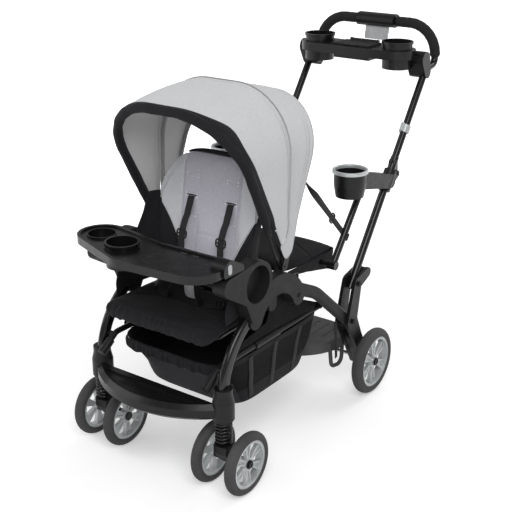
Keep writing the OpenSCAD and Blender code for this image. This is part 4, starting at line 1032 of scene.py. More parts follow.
class STROLLER_OT_binding(bpy.types.Operator):
    """Pads the canopy's front bow with its black binding."""

    bl_idname = "stroller.binding"
    bl_label = "Canopy Binding"

    def execute(self, context):
        ends = ((201.3, 24), (201.3, 110), (211, 490), (-211, 490), (-201.3, 110), (-201.3, 24))
        bends = [0, SHOULDER * MM, SHOULDER * MM, 0]
        path = rounded_path([swung(x, r, BOW_FRONT) for x, r in ends], bends, 5 * MM)
        out = Vector((0, -sind(BOW_FRONT), cosd(BOW_FRONT)))
        onto = cast(bpy.data.objects["canopy_front_sheet"])
        length = run_length(path)
        rings, facing = [], []
        for i, (tangent, _, _) in enumerate(path_frames(path)):
            run = i / (len(path) - 1) * length
            end = min(run, length - run)
            w = tangent.cross(out).normalized()
            reach = math.hypot(path[i].y - AXLE_Y - PIVOT[0] * MM, path[i].z - PIVOT[1] * MM) / MM
            level = abs(tangent.x)
            round_share = float(eased((reach - ROUND_START) / ROUND_RUN))
            tip = math.sqrt(1 - max(0.0, 1 - end / BINDING_TIP) ** 2) if end > 0 else 0.25
            wrinkle = math.exp(-(((level - 0.6) / 0.25) ** 2))
            pucker = 0.35 * math.sin(run / 0.019) + (0.2 + 0.5 * wrinkle) * math.sin(run / 0.0083 + 1.3)
            rings.append(self.section(path[i], out, w, round_share, tip, pucker * round_share))
            if reach > FACING_START:
                facing.append(self.facing_row(path[i], out, w, reach, level, onto))
        tube_part = clothe(lofted("binding", rings), finish("black_cloth"))
        strip = lofted("facing", facing, around=False)
        face_out(strip, lambda c: c - at(0, *PIVOT))
        strip = clothe(thicken(strip, FACING_WALL), finish("black_cloth"))
        obj = joined("canopy_front_binding", [tube_part, strip])
        keep(obj, "canopy_front", "black_cloth", "canopy_binding")
        return {"FINISHED"}

    def section(self, centre, out, w, round_share, tip, pucker, sides=22):
        """One ring of the stuffed binding: flat beside the pivot, round on the bow."""
        across, proud, deep = (a + (b - a) * round_share for a, b in zip(BINDING_FLAT, BINDING_ROUND))
        ring = []
        for k in range(sides):
            a = 2 * math.pi * k / sides
            c, n = math.cos(a), math.sin(a)
            lift = (proud if n > 0 else deep) * n + pucker * n
            ring.append(centre + (out * ((across * tip + pucker) * c) + w * lift) * MM)
        return ring

    def facing_row(self, centre, out, w, reach, level, onto):
        """One row across the sewn facing, which laps over the cloth and widens round the shoulders."""
        extra = 7 * (1 - level**4) + 17 * math.exp(-(((level - 0.66) / 0.2) ** 2))
        extra *= float(eased((reach - FACING_START) / 50))
        row = []
        for u in np.linspace(0, 1, 8):
            along = 3 + (extra + 10.5) * u
            probe = centre - out * (max(along, 13.5) * MM)
            sheet_w = (onto(probe, -w) - probe).dot(w) / MM
            start = (1 - u) ** 2
            rise = start * 12.0 + (1 - start) * (sheet_w + 1.35 * (1 - u**6) + 0.1)
            row.append(centre - out * (along * MM) + w * (rise * MM))
        return row


# Pads, as rings whose crown falls off towards their sides


def pad_ring(y, z, lean, half, thick, curl, count=72):
    """One ring of a pad at a place: which way its crown leans, its half width and how far its sides curl."""
    ring = []
    for i in range(count):
        a = -2 * math.pi * i / count
        across = power(math.cos(a), 0.55)
        crown = thick * power(math.sin(a), 0.7) * (1 - 0.28 * across * across)
        lift = crown + curl * across**4
        ring.append(at(half * across, y + lift * cosd(lean), z + lift * sind(lean)))
    return ring


def pad_form(name, stations, count=56):
    """A closed pad through stations, each one a ring's place and size."""
    return lofted(name, [pad_ring(*row) for row in smooth_rows(stations, count)])


# Seat back, in millimetres and degrees, from its hinge
SEAT_HINGE = (200.0, 446.0)
RECLINE = 9.0
# The pad's middle in front of the board's middle
PAD_OFFSET = 18.3
# The pad from top to bottom: height, half width, half thickness and curl of its sides
BACK_STATIONS = [(373, 92, 7.5, 0), (352, 126, 13.5, 8), (312, 157, 15, 20), (260, 174, 15, 30),
                 (190, 178, 15, 34), (110, 173, 15, 30), (46, 159, 13.5, 16), (34, 130, 6, 4)]
BACK_ROWS = np.array(BACK_STATIONS)[::-1]
BACK_NORMAL = Vector((0, -cosd(RECLINE), sind(RECLINE)))
BACK_UP = Vector((0, sind(RECLINE), cosd(RECLINE)))
# Belt slots: distance from the middle, and heights of the three pairs
SLOT = 66.0
SLOT_ROWS = (304.0, 250.0, 198.0)
BELT_ROW = SLOT_ROWS[1]
WING_SEAM = 98.0
SEAM_DEPTH = 2.6
ACROSS = Vector((1, 0, 0))
# A belt's slide: width, height and radius of its wire
BELT_SLIDE = (0.031, 0.022, 0.0024)
# Crotch pad: mesh size while it is stuffed, and the most that stuffing moves its skin
CROTCH_STUFFING = (0.003, 0.0008)
# The most that stuffing moves the cushions' skins, in metres
FRONT_SWELL, BENCH_SWELL = 0.0025, 0.0022
# Wall of the seat's sides and of the bench's cover
COVER_WALL = 0.0016


def on_back(x, up, out):
    """A point in the seat back's own plane: across, up from its hinge and out from the board's middle."""
    return at(x, SEAT_HINGE[0], SEAT_HINGE[1]) + (BACK_UP * up + BACK_NORMAL * out) * MM


def back_local(co):
    """Across, up and out in millimetres, for points in metres."""
    rel = (co - np.array(at(0, *SEAT_HINGE))) / MM
    return rel[:, 0], rel @ np.array(BACK_UP), rel @ np.array(BACK_NORMAL)


def lower_wing(up):
    """Half width inside which the seat back's middle cloth lies, above the black lower wings."""
    return 62 + 116 * np.clip(np.asarray(up, float) / 244, 0, 2) ** 1.5


class STROLLER_OT_seat_back(bpy.types.Operator):
    """Stuffs the seat back, with its lilac middle, grey wings, black lower wings and piped edge."""

    bl_idname = "stroller.seat_back"
    bl_label = "Seat Back"

    def execute(self, context):
        sizes = context.scene.stroller_sizes
        rows = []
        for up, half, thick, curl in BACK_STATIONS:
            p = on_back(0, up, PAD_OFFSET)
            rows.append(((p.y - AXLE_Y) / MM, p.z / MM, 180 - RECLINE, half - 2, thick - 1.5, curl))
        pad = pad_form("seat_back_cushion", rows)
        swell(pad, sizes.voxel, sizes.pad_swell)
        co = coordinates(pad.data)
        _, _, out = back_local(co)
        behind = np.maximum(0, 3.4 - out) * MM
        set_coordinates(pad.data, co + np.array(BACK_NORMAL)[None, :] * behind[:, None])
        press(pad, self.seams)
        zoned(pad, [finish("lilac_cloth"), finish("wing_cloth"), finish("black_cloth")], self.zones)
        flat_uv(pad, lambda p: np.stack([p[:, 0], back_local(p)[1] * MM], axis=1))
        keep(pad, "seat_back", "lilac_cloth", "seat_back_pad")
        self.trim(pad, sizes)
        return {"FINISHED"}

    def seams(self, co):
        """How deep the sewn seams, slots and quilting pull in the front."""
        x, up, out = back_local(co)
        front = out > PAD_OFFSET - 4
        wing = np.exp(-((np.abs(x) - WING_SEAM) / 4) ** 2) * (np.abs(x) < lower_wing(up))
        lower = np.exp(-((np.abs(x) - lower_wing(up)) / 4) ** 2)
        slots = sum(np.exp(-((up - row) / 6) ** 2) for row in SLOT_ROWS)
        slots = slots * np.exp(-(((np.abs(x) - SLOT) / 22) ** 4))
        column = 0.6 * np.exp(-(((np.abs(x) - SLOT + 26 + 5 * np.sin(up / 27)) / 5) ** 2))
        column = column * (up > 90) * (up < 330)
        quilt = 0.35 * np.exp(-((up - 150) / 5) ** 2) * (np.abs(x) < 40)
        return front * np.clip(wing + lower + slots + column + quilt, 0, 1) * SEAM_DEPTH * MM

    def zones(self, co):
        """Lilac middle, grey wings, and black lower wings and back."""
        x, up, out = back_local(co)
        zone = np.zeros(len(co))
        zone[np.abs(x) > WING_SEAM] = 1
        zone[np.abs(x) > lower_wing(up)] = 2
        zone[out < PAD_OFFSET - 7] = 2
        return zone

    def trim(self, pad, sizes):
        """The corded seams, the top band, the belt slots and the rows of stitches."""
        onto = cast(pad)

        def drop(x, up, lift):
            return onto(on_back(x, up, 60), -BACK_NORMAL) + BACK_NORMAL * lift

        cords, slits, tacks, rows = [], [], [], []
        for side in (-1, 1):
            line = [drop(side * float(lower_wing(u)), u, 0.0002) for u in np.linspace(46, 216, 40)]
            cords.append(tube("cord", even_path(line, 4 * MM), sizes.piping_radius, 8))
        line = [on_back(x, 374 - 12 * abs(x / 100) ** 3, PAD_OFFSET + 1) for x in np.linspace(-100, 100, 60)]
        cords.append(tube("cord", even_path(line, 5 * MM),
                          lambda t: 0.0018 + 0.0042 * math.sin(math.pi * t) ** 0.4, 12))
        cords = [clothe(cord, finish("black_cloth")) for cord in cords]
        keep(joined("seat_back_piping", cords), "seat_back", "black_cloth")
        for side in (-1, 1):
            for up in SLOT_ROWS:
                line = [drop(side * SLOT + a, up - 1.5 * (a / 17) ** 2, 0.0001)
                        for a in np.linspace(-15, 15, 15)]
                # The belt row's slits gape, and their black cloth is painted shade inside the open slot.
                gape, cloth = (0.0036, "black_cloth") if up == BELT_ROW else (0.0012, "lilac_cloth")
                slits.append(clothe(ribbon("slit", line, BACK_UP, gape, 0.001), finish(cloth)))
                for a in (-18, 18):
                    tacks += [[drop(side * SLOT + a + b, up + c, 0.0007) for c in (-4, 0, 4)]
                              for b in (-1.2, 0, 1.2)]
                tacks.append([drop(side * SLOT + a, up + 4, 0.0005) for a in np.linspace(-16, 16, 9)])
        keep(joined("belt_slots", slits), "seat_back", "black_cloth")
        stitched("belt_slot_stitches", tacks, "seat_back", "pale_thread")
        for side in (-1, 1):
            rows.append([drop(side * (float(lower_wing(u)) - 5), u, 0.0005)
                         for u in np.linspace(60, 200, 40)])
            rows.append([drop(side * (WING_SEAM - 6), u, 0.0005) for u in np.linspace(150, 332, 44)])
        stitched("seat_back_stitches", rows, "seat_back")


def slide_adjuster(centre, wide, up, width, height, wire):
    """A webbing slide: a rounded wire frame with a middle bar."""
    corners = [(-1, -1), (1, -1), (1, 1), (-1, 1)]
    loop = [centre + wide * (a * width / 2) + up * (b * height / 2) for a, b in corners]
    loop = [(loop[0] + loop[1]) / 2] + loop[1:] + [loop[0], (loop[0] + loop[1]) / 2]
    hoop = rounded_path(loop, [height * 0.32] * 4, 3 * MM)
    bar = even_path([centre - wide * width / 2, centre + wide * width / 2], 6 * MM)
    pieces = [tube("slide", hoop, wire, 8), tube("slide", bar, wire * 0.8, 8)]
    return [clothe(p, finish("satin_black")) for p in pieces]


def belt(path, wide, width, wall):
    """A length of webbing along a path."""
    return clothe(ribbon("belt", path, wide, width, wall), finish("webbing"))


class STROLLER_OT_harness(bpy.types.Operator):
    """Threads the shoulder belts out of their slots, with slides, and pads the crotch strap."""

    bl_idname = "stroller.harness"
    bl_label = "Harness"

    def execute(self, context):
        sizes = context.scene.stroller_sizes
        onto = cast(bpy.data.objects["seat_back_cushion"])
        belts, slides = [], []
        for side in (-1, 1):
            x = side * SLOT
            line = [on_back(x, BELT_ROW + 2, 12), on_back(x, BELT_ROW + 1, 27)]
            for u in np.linspace(BELT_ROW - 6, 62, 30):
                fall = (BELT_ROW - u) / 110
                loose = 0.027 * float(eased(fall)) * (1 - 0.35 * float(eased(fall - 1)))
                line.append(onto(on_back(x, u, 60), -BACK_NORMAL) + BACK_NORMAL * (0.0026 + loose))
            path = even_path(line, 5 * MM)
            belts.append(belt(path, ACROSS, sizes.belt_width, sizes.belt_wall))
            at_slide = min(path, key=lambda p: abs((p - on_back(0, 148, 0)).dot(BACK_UP)))
            slides += slide_adjuster(at_slide + BACK_NORMAL * 0.0012, ACROSS, BACK_UP, *BELT_SLIDE)
        keep(joined("shoulder_webbing", belts + slides), "seat_back", "webbing", "shoulder_belts")
        self.crotch()
        return {"FINISHED"}

    def crotch(self):
        """The padded crotch strap, in the place of its solid."""
        low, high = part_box("crotch_strap")
        bottom, top = low[2] / MM, high[2] / MM
        y = ((low[1] + high[1]) / 2 - AXLE_Y) / MM
        rows = [(y, top, 180, 15, 2.4, 0), (y, top - 6, 180, 20, 5, 0), (y, bottom + 26, 180, 23.5, 6.6, 0),
                (y, bottom + 6, 180, 21.5, 5.6, 0), (y, bottom, 180, 16, 4, 0)]
        pad = pad_form("crotch_pad", rows, 30)
        swell(pad, *CROTCH_STUFFING)
        flat_uv(pad, lambda p: np.stack([p[:, 0], p[:, 2]], axis=1))

        def rim(co):
            away = np.abs(np.abs(co[:, 0]) / MM - 16)
            return np.exp(-((away / 1.8) ** 2)) * 0.7 * MM

        press(pad, rim)
        clothe(pad, finish("wing_cloth"))
        keep(pad, "chassis", "grey_cloth", "crotch_strap")


class STROLLER_OT_seat_sides(bpy.types.Operator):
    """Hangs the black cloth that closes the seat's sides between the back pad and the cushion."""

    bl_idname = "stroller.seat_sides"
    bl_label = "Seat Sides"

    def execute(self, context):
        # The free edge: share of the way up, then its place back and up
        edge = np.array([(0, 20, 447), (0.15, 18, 474), (0.3, 28, 508), (0.5, 66, 550), (0.7, 106, 598),
                         (0.85, 138, 644), (1, 160, 696)])
        for side, name in ((1, "seat_side_left"), (-1, "seat_side_right")):
            rows = []
            for h in np.linspace(0, 1, 30):
                up = 12 + 234 * h
                half, curl = (float(np.interp(up, BACK_ROWS[:, 0], BACK_ROWS[:, k])) for k in (1, 3))
                start = on_back(side * (half - 13), up, PAD_OFFSET + 0.8 * curl - 7)
                y, z = (float(np.interp(h, edge[:, 0], edge[:, k])) for k in (1, 2))
                end = at(side * 186.5, y, z)
                corner = Vector((side * 187.5 * MM, start.y - 0.012, start.z * 0.8 + end.z * 0.2))
                row = []
                for t in np.linspace(0, 1, 34):
                    point = start * (1 - t) ** 2 + corner * 2 * t * (1 - t) + end * t * t
                    fold = 1.6 * math.sin(9 * h + 5 * t) * math.sin(math.pi * t) * math.sin(math.pi * h)
                    row.append(point - Vector((side, 0, 0)) * (1 + fold) * MM)
                rows.append(row)
            obj = hang(name, rows, Vector((side, 0, 0)), COVER_WALL, None)
            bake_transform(obj)
        return {"FINISHED"}


class STROLLER_OT_cushions(bpy.types.Operator):
    """Stuffs the front seat cushion and the rear bench."""

    bl_idname = "stroller.cushions"
    bl_label = "Cushions"

    def execute(self, context):
        sizes = context.scene.stroller_sizes
        self.front_seat(sizes)
        self.bench(sizes)
        self.skirt()
        return {"FINISHED"}

    def skirt(self):
        """The bench's loose cover, hanging round its sides and back."""
        corners = [at(x, y, 486) for x, y in ((163, 332), (170, 568), (-170, 568), (-163, 332))]
        line = even_path(rounded_path(corners, [0.016, 0.016], 3 * MM), 7 * MM)
        rows = []
        for t in np.linspace(0, 1, 12):
            row = []
            for i, p in enumerate(line):
                x, y = p.x / MM, (p.y - AXLE_Y) / MM
                depth = float(np.interp(y, (330, 390, 440, 500, 566), (10, 30, 38, 52, 66)))
                depth -= 8 * (1 - abs(x) / 175) * (y > 560)
                fold = (1.5 * math.sin(i * 0.31) + math.sin(i * 0.83 + 1)) * t * (1 - 0.4 * t)
                inward = 13 * t * t + fold
                step = Vector((-math.copysign(1, x) * (abs(x) > 150), -1.0 * (y > 556), 0))
                row.append(p + (step * inward - Vector((0, 0, depth * t))) * MM)
            rows.append(row)
        hang("bench_skirt", rows, Vector((0, 1, 0)), COVER_WALL, "chassis")

    def front_seat(self, sizes):
        """The front cushion, which rolls over the frame's front edge, with the lap belts on it."""
        z, wide = 431.18, 185.0
        rows = [(188, z, 90, wide - 26, 5.5, 0), (179, z, 90, wide - 10, 12.6, 0),
                (140, z, 90, wide - 2, 14.4, 0), (80, z, 90, wide - 2, 14.4, 0),
                (24, z, 90, wide + 1, 14.4, 0), (0, z, 90, wide + 2, 14.4, 0),
                (-16, z - 3, 104, wide + 3, 14.4, 0), (-29, z - 10, 128, wide + 1, 13.4, 0),
                (-37, z - 20, 158, wide - 6, 9.8, 0), (-36, z - 28, 188, wide - 16, 5.6, 0),
                (-33, z - 32, 206, wide - 30, 2.4, 0)]
        pad = pad_form("front_seat_cushion", rows, 70)
        swell(pad, sizes.voxel, FRONT_SWELL)

        def folds(co):
            x, y, height = local_mm(co)
            above, top = height - z, height > z
            roll = np.exp(-(((y + 30) / 15) ** 2)) * (height < z + 8)
            pucker = np.sin(x / 11 + 1.9 * np.sin(x / 37) + above / 9)
            pucker = 0.5 + 0.5 * pucker * np.sin(x / 6.3 + 2 * np.sin(x / 21) - above / 14)
            seam = np.exp(-(((y - 52 - 26 * np.cos(x / 92)) / 3.4) ** 2)) * top * (np.abs(x) < 140)
            sat = np.exp(-((x / 105) ** 4 + ((y - 120) / 52) ** 4)) * top
            wave = np.sin(x / 17 + 1.7 * np.sin(y / 23 + x / 60))
            wave = 0.5 + 0.5 * wave * np.sin(y / 19 + 1.3 * np.sin(x / 45))
            return (roll * pucker * 4.6 + 2.0 * seam + 3.0 * sat + 1.1 * wave * top) * MM

        self.upholster(pad, folds, "seat_cushion")
        self.lap_belts(cast(pad), sizes)

    def upholster(self, pad, folds, node):
        """Sews the folds into a cushion and covers it in black cloth."""
        press(pad, folds)
        flat_uv(pad, lambda p: np.stack([p[:, 0], p[:, 1] - p[:, 2]], axis=1))
        clothe(pad, finish("black_cloth"))
        keep(pad, "chassis", "black_cloth", node)

    def lap_belts(self, onto, sizes):
        """The two lap belts, from under the seat's sides to the buckle, with their slides."""
        low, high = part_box("harness_buckle")
        pieces = []
        for side in (-1, 1):
            line = []
            for t in np.linspace(0, 1, 30):
                above = at(side * (172 - 118 * t), 172 - 84 * math.sin(math.pi * t / 2), 470)
                loose = Vector((0, 0, 0.0022 + 0.006 * math.sin(math.pi * t) ** 2))
                line.append(onto(above, Vector((0, 0, -1))) + loose)
            middle_y, middle_z = ((low[k] + high[k]) / 2 for k in (1, 2))
            buckle = Vector((side * (high[0] + 0.001), middle_y - 0.004, middle_z))
            droop = Vector((-side * 0.006, 0.016, 0.008))
            last = line[-1]
            for t in np.linspace(0.08, 1, 18):
                line.append(last.lerp(buckle, t) - droop * math.sin(math.pi * t))
            path = even_path(line, 5 * MM)
            wide = Vector((0, 1, 0.25))
            pieces.append(belt(path, wide, sizes.belt_width, sizes.belt_wall))
            k = int(len(path) * 0.42)
            along = (path[k + 1] - path[k - 1]).normalized()
            across = (wide - along * wide.dot(along)).normalized()
            pieces += slide_adjuster(path[k] + Vector((0, 0, 0.0014)), across, along, *BELT_SLIDE)
        keep(joined("lap_belts", pieces), "chassis", "webbing")

    def bench(self, sizes):
        """The rear cushion, sat in at its middle."""
        z = 487.18
        rows = [(565, z + 2, 90, 158, 5.5, 0), (553, z, 90, 164, 13, 0), (510, z, 90, 166, 14.8, 0),
                (440, z, 90, 166, 14.8, 0), (380, z, 90, 164, 14.8, 0), (331, z, 90, 152, 13, 0),
                (323, z, 90, 132, 5.5, 0)]
        pad = pad_form("rear_bench_cushion", rows, 60)
        swell(pad, sizes.voxel, BENCH_SWELL)

        def seams(co):
            x, y, height = local_mm(co)
            top = height > z
            along = ((x - 68) * 120 + (503 - y) * 72) / 140
            crease = np.exp(-((((x - 68) * 72 - (503 - y) * 120) / 140 / 4) ** 2))
            crease = crease * (along > -20) * (along < 120)
            sag = (1 - np.clip(np.abs(x) / 150, 0, 1) ** 2) * np.exp(-(((y - 470) / 80) ** 4))
            return top * (2.6 * crease + 6.0 * sag) * MM

        self.upholster(pad, seams, "bench_seat")


# The basket from its rim down: height, front, back and half width, in millimetres
BASKET_TOP = 326.7
BASKET_ROWS = [(BASKET_TOP, 4, 478, 186), (302.7, 20, 476, 182), (238, 64, 458, 174), (178, 96, 423, 166),
               (164, 108, 413, 155)]
BASKET_COLUMNS = 168
BASKET_WALL = 0.0018
# The side straps: place at the rim and how far each leans over 100 mm
BASKET_STRAPS = ((128, 20), (246, 0), (366, -12))
# Width and thickness of their webbing
BASKET_BELT = (0.019, 0.0014)
# Where the side panels start, above the rail, and their wall
PANEL_LOW = 348
PANEL_WALL = 0.0012


class STROLLER_OT_basket(bpy.types.Operator):
    """Hangs the storage basket: mesh sides, a raked front panel and a gathered elastic hem."""

    bl_idname = "stroller.basket"
    bl_label = "Basket"

    def execute(self, context):
        rings = [self.ring(*row) for row in smooth_rows(BASKET_ROWS, 40)]
        z, front, back, half = BASKET_ROWS[-1]
        mid, deep = (front + back) / 2, (back - front) / 2
        for share in (0.86, 0.66, 0.42, 0.2):
            reach = deep * share
            rings.append(self.ring(z - 3.6 * (1 - share), mid - reach, mid + reach, half * share))
        obj = lofted("storage_basket", rings, caps=False)
        face_out(obj, lambda c: c - at(0, 240, 250), BASKET_COLUMNS // 4)
        self.close_floor(obj, len(rings))
        zoned(obj, [finish("mesh"), finish("front_cloth"), finish("black_cloth")], self.zones)
        webbing = self.straps(cast(obj))
        thicken(obj, BASKET_WALL)
        keep(obj, "chassis", "black_cloth", "basket")
        for piece in (obj, webbing, self.hem()):
            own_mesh(piece)
        for side, name in ((1, "basket_side_left"), (-1, "basket_side_right")):
            self.side_panel(side, name)
        return {"FINISHED"}

    def rim_to_rim(self, rings, j):
        """The cloth's length from the rim down one column, over the floor and up the opposite one."""
        opposite = j + BASKET_COLUMNS // 2
        return run_length([ring[j] for ring in rings] + [ring[opposite] for ring in reversed(rings)])

    def straps(self, onto):
        """The webbing sewn down the basket's sides."""
        straps = []
        for side in (-1, 1):
            for y, lean in BASKET_STRAPS:
                line = [onto(at(side * 187, y + lean * (320 - z) / 100, z), Vector((-side, 0, 0)))
                        + Vector((side * 0.0011, 0, 0)) for z in np.linspace(318, 184, 30)]
                straps.append(belt(line, Vector((0, 1, 0)), *BASKET_BELT))
        return keep(joined("basket_straps", straps), "chassis", "black_cloth")

    def hem(self):
        """The front edge's gathered elastic hem."""
        rings = []
        for x in np.linspace(-176, 176, 177):
            y = 241 - 240 * (1 - abs(x / 186) ** 5.9) ** (1 / 5.9)
            lean = Vector((x / 186 * abs(x / 186) ** 6, -1, 0)).normalized()
            tip = math.sqrt(1 - (abs(x) / 176.5) ** 8)
            ruffle = 1.5 * math.sin(x / 5.2 + 2 * math.sin(x / 19))
            ruffle += 1.1 * math.sin(x / 2.7 + math.sin(x / 11))
            centre = at(x, y, 313 + 1.6 * math.sin(x / 8.3))
            ring = []
            for a in np.linspace(0, 2 * math.pi, 20, endpoint=False):
                out = (4.2 + ruffle * max(0.0, math.cos(a))) * math.cos(a)
                up = (15 + 1.4 * math.sin(x / 6.1)) * math.sin(a)
                ring.append(centre + (lean * out * tip + Vector((0, 0, up * tip))) * MM)
            rings.append(ring)
        obj = keep(clothe(lofted("basket_hem", rings), finish("black_cloth")), "chassis", "black_cloth")
        return obj

    def side_panel(self, side, name):
        """The mesh that closes the side from the rail up to the frame's arch."""
        top = np.array([(36, 352), (100, 378), (196, 392), (210, 424), (236, 462), (262, 458), (300, 434),
                        (358, 402), (448, 360), (472, 352)])
        rows = []
        for t in np.linspace(0, 1, 14):
            row = []
            for y in np.linspace(36, 472, 74):
                z = PANEL_LOW + (float(np.interp(y, top[:, 0], top[:, 1])) - PANEL_LOW) * t
                slack = 0.5 * (1 + math.sin(y / 13)) * math.sin(math.pi * t)
                row.append(at(side * (179 + 7.4 * float(eased((z - PANEL_LOW) / 14)) - slack), y, z))
            rows.append(row)
        hang(name, rows, Vector((side, 0, 0)), PANEL_WALL, "chassis", "mesh")

    def ring(self, z, front, back, half):
        """One round of the basket at a height, gathered at the rim and slack below it."""
        mid, deep, below = (front + back) / 2, (back - front) / 2, BASKET_TOP - z
        ring = []
        for i in range(BASKET_COLUMNS):
            a = -2 * math.pi * i / BASKET_COLUMNS
            sharp = 0.34 - 0.15 * float(eased(math.sin(a)))
            x, y = power(math.cos(a), sharp), power(math.sin(a), sharp)
            gather = (0.9 + 0.7 * math.sin(84 * a) + 0.5 * math.sin(131 * a)) * math.exp(-((below / 16) ** 2))
            slack = 1.4 * (1 + math.sin(7 * a + z / 21)) * math.sin(math.pi * min(1, below / 160)) ** 2
            inset = gather + slack
            ring.append(at((half - inset) * x, mid + (deep - inset) * y, z))
        return ring

    def close_floor(self, obj, rows):
        """Closes the last round with a fan of faces."""
        mesh = obj.data
        points = [v.co.copy() for v in mesh.vertices]
        faces = [list(p.vertices) for p in mesh.polygons]
        uvs = [tuple(d.uv) for d in mesh.uv_layers.active.data]
        base = (rows - 1) * BASKET_COLUMNS
        points.append(sum(points[base:base + BASKET_COLUMNS], Vector()) / BASKET_COLUMNS)
        flipped = faces[0][1] != 1
        for j in range(BASKET_COLUMNS):
            pair = [base + j, base + (j + 1) % BASKET_COLUMNS]
            faces.append((pair[::-1] if flipped else pair) + [len(points) - 1])
            uvs += [(points[i].x, points[i].y) for i in faces[-1]]
        closed = mesh_object("storage_basket_mesh", points, faces, uvs)
        obj.data = closed.data
        bpy.data.objects.remove(closed)

    def zones(self, co):
        """Mesh sides, a closer front panel, and black cloth at the rim and the floor."""
        x, y, z = local_mm(co)
        zone = np.zeros(len(co))
        rows = np.array(BASKET_ROWS)[::-1]
        front_line, half = (np.interp(z, rows[:, 0], rows[:, k]) for k in (1, 3))
        zone[(y < front_line + 26) & (np.abs(x) < half * 0.93)] = 1
        zone[z > 309] = 2
        zone[(z < 212) & (zone == 0)] = 2
        return zone


# Distance of the frame's tubes from the middle, in millimetres
FRAME_X = 207.0
# A canopy strap's slide: width, height and radius of its wire
STRAP_SLIDE = (0.027, 0.02, 0.0022)
STRAP_WIDTH = 0.018
# Width and thickness of a board strap
BOARD_STRAP = (0.013, 0.0022)


class STROLLER_OT_straps(bpy.types.Operator):
    """Ties the canopy's rear hem to the front posts, and the arch tubes to the board, with webbing."""

    bl_idname = "stroller.straps"
    bl_label = "Straps"

    def execute(self, context):
        for side, name in ((1, "left"), (-1, "right")):
            self.canopy_strap(side, "canopy_strap_" + name, context.scene.stroller_sizes.belt_wall)
            self.board_strap(side, "board_strap_" + name)
        return {"FINISHED"}

    def canopy_strap(self, side, name, wall):
        """The strap from the hem, which turns on the way, with its slide and the band round the post."""
        start, end = at(side * 202, 338, 758), at(side * 203, 549, 546)
        line = even_path([start, end], 6 * MM)
        down = (end - start).normalized()
        flat = Vector((side, 0, 0)).cross(down).normalized()
        wide = []
        for i in range(len(line)):
            turn = math.pi / 2 * float(eased(1.6 * i / (len(line) - 1)))
            wide.append(Vector((side * 0.55, -0.76, 0.36)) * math.cos(turn) + flat * math.sin(turn))
        strap = joined(name, [belt(line, wide, STRAP_WIDTH, wall)]
                       + slide_adjuster(start.lerp(end, 0.72), flat, down, *STRAP_SLIDE))
        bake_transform(strap)
        post = Vector((0, 165, 218)).normalized()
        line = [at(side * FRAME_X, 553, 533.6) + post * (k * MM) for k in (-10, -9, 9, 10)]
        band = tube(name + "_band", line, lambda t: 0.0112 + 0.0012 * (0.1 < t < 0.9), 28)
        keep(clothe(band, finish("webbing")), "rear_frame", "webbing")

    def board_strap(self, side, name):
        high, low = at(side * 206, 519, 276), at(side * 188, 560, 138)
        link = ribbon(name, even_path([high, low], 6 * MM), Vector((0, 1, 0)), *BOARD_STRAP)
        clothe(link, finish("webbing"))
        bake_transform(link)


# The grips' path: inner end and place back, radius of the bend, and how the outer end drops
GRIP_START, GRIP_BACK = 66.6, 1066.03
GRIP_BEND = 92.0
GRIP_DROP = (-2.48, -96.0)
GRIP_RADIUS = 0.0158


class STROLLER_OT_grips(bpy.types.Operator):
    """Slides the foam grips over both ends of the handle."""

    bl_idname = "stroller.grips"
    bl_label = "Grips"

    def execute(self, context):
        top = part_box("handle_grips")[1][2] / MM - 16
        step = 4 * MM
        grips = []
        for side in (-1, 1):
            corners = [at(side * GRIP_START, GRIP_BACK, top), at(side * FRAME_X, GRIP_BACK, top),
                       at(side * FRAME_X, GRIP_BACK + GRIP_DROP[0], top + GRIP_DROP[1])]
            path = rounded_path(corners, [GRIP_BEND * MM], step)

            def round_end(t):
                edge = min(t, 1 - t) * len(path) * step
                swell_in = math.sqrt(max(0.52, 1 - max(0, 1 - edge / 0.008) ** 2))
                return GRIP_RADIUS * swell_in + 0.00025 * math.sin(t * 61)

            grips.append(clothe(tube("grip", path, round_end, 28), finish("foam")))
        keep(joined("foam_grips", grips), "push_handle", "foam", "handle_grips")
        return {"FINISHED"}


# Depth of rubber on the front and rear wheels, and how many sipes go round them
FRONT_TYRE = (21, 72)
REAR_TYRE = (24, 84)
STEPS_PER_SIPE = 4
# Share of the tyre's rounding at which its tread starts
TREAD_START = 0.45
# A sipe's depth and how it leans, then depth, place and width of the groove on each side
SIPE_DEPTH, SIPE_LEAN = 0.9, 0.09
GROOVE = (1.1, 3.2, 0.9)


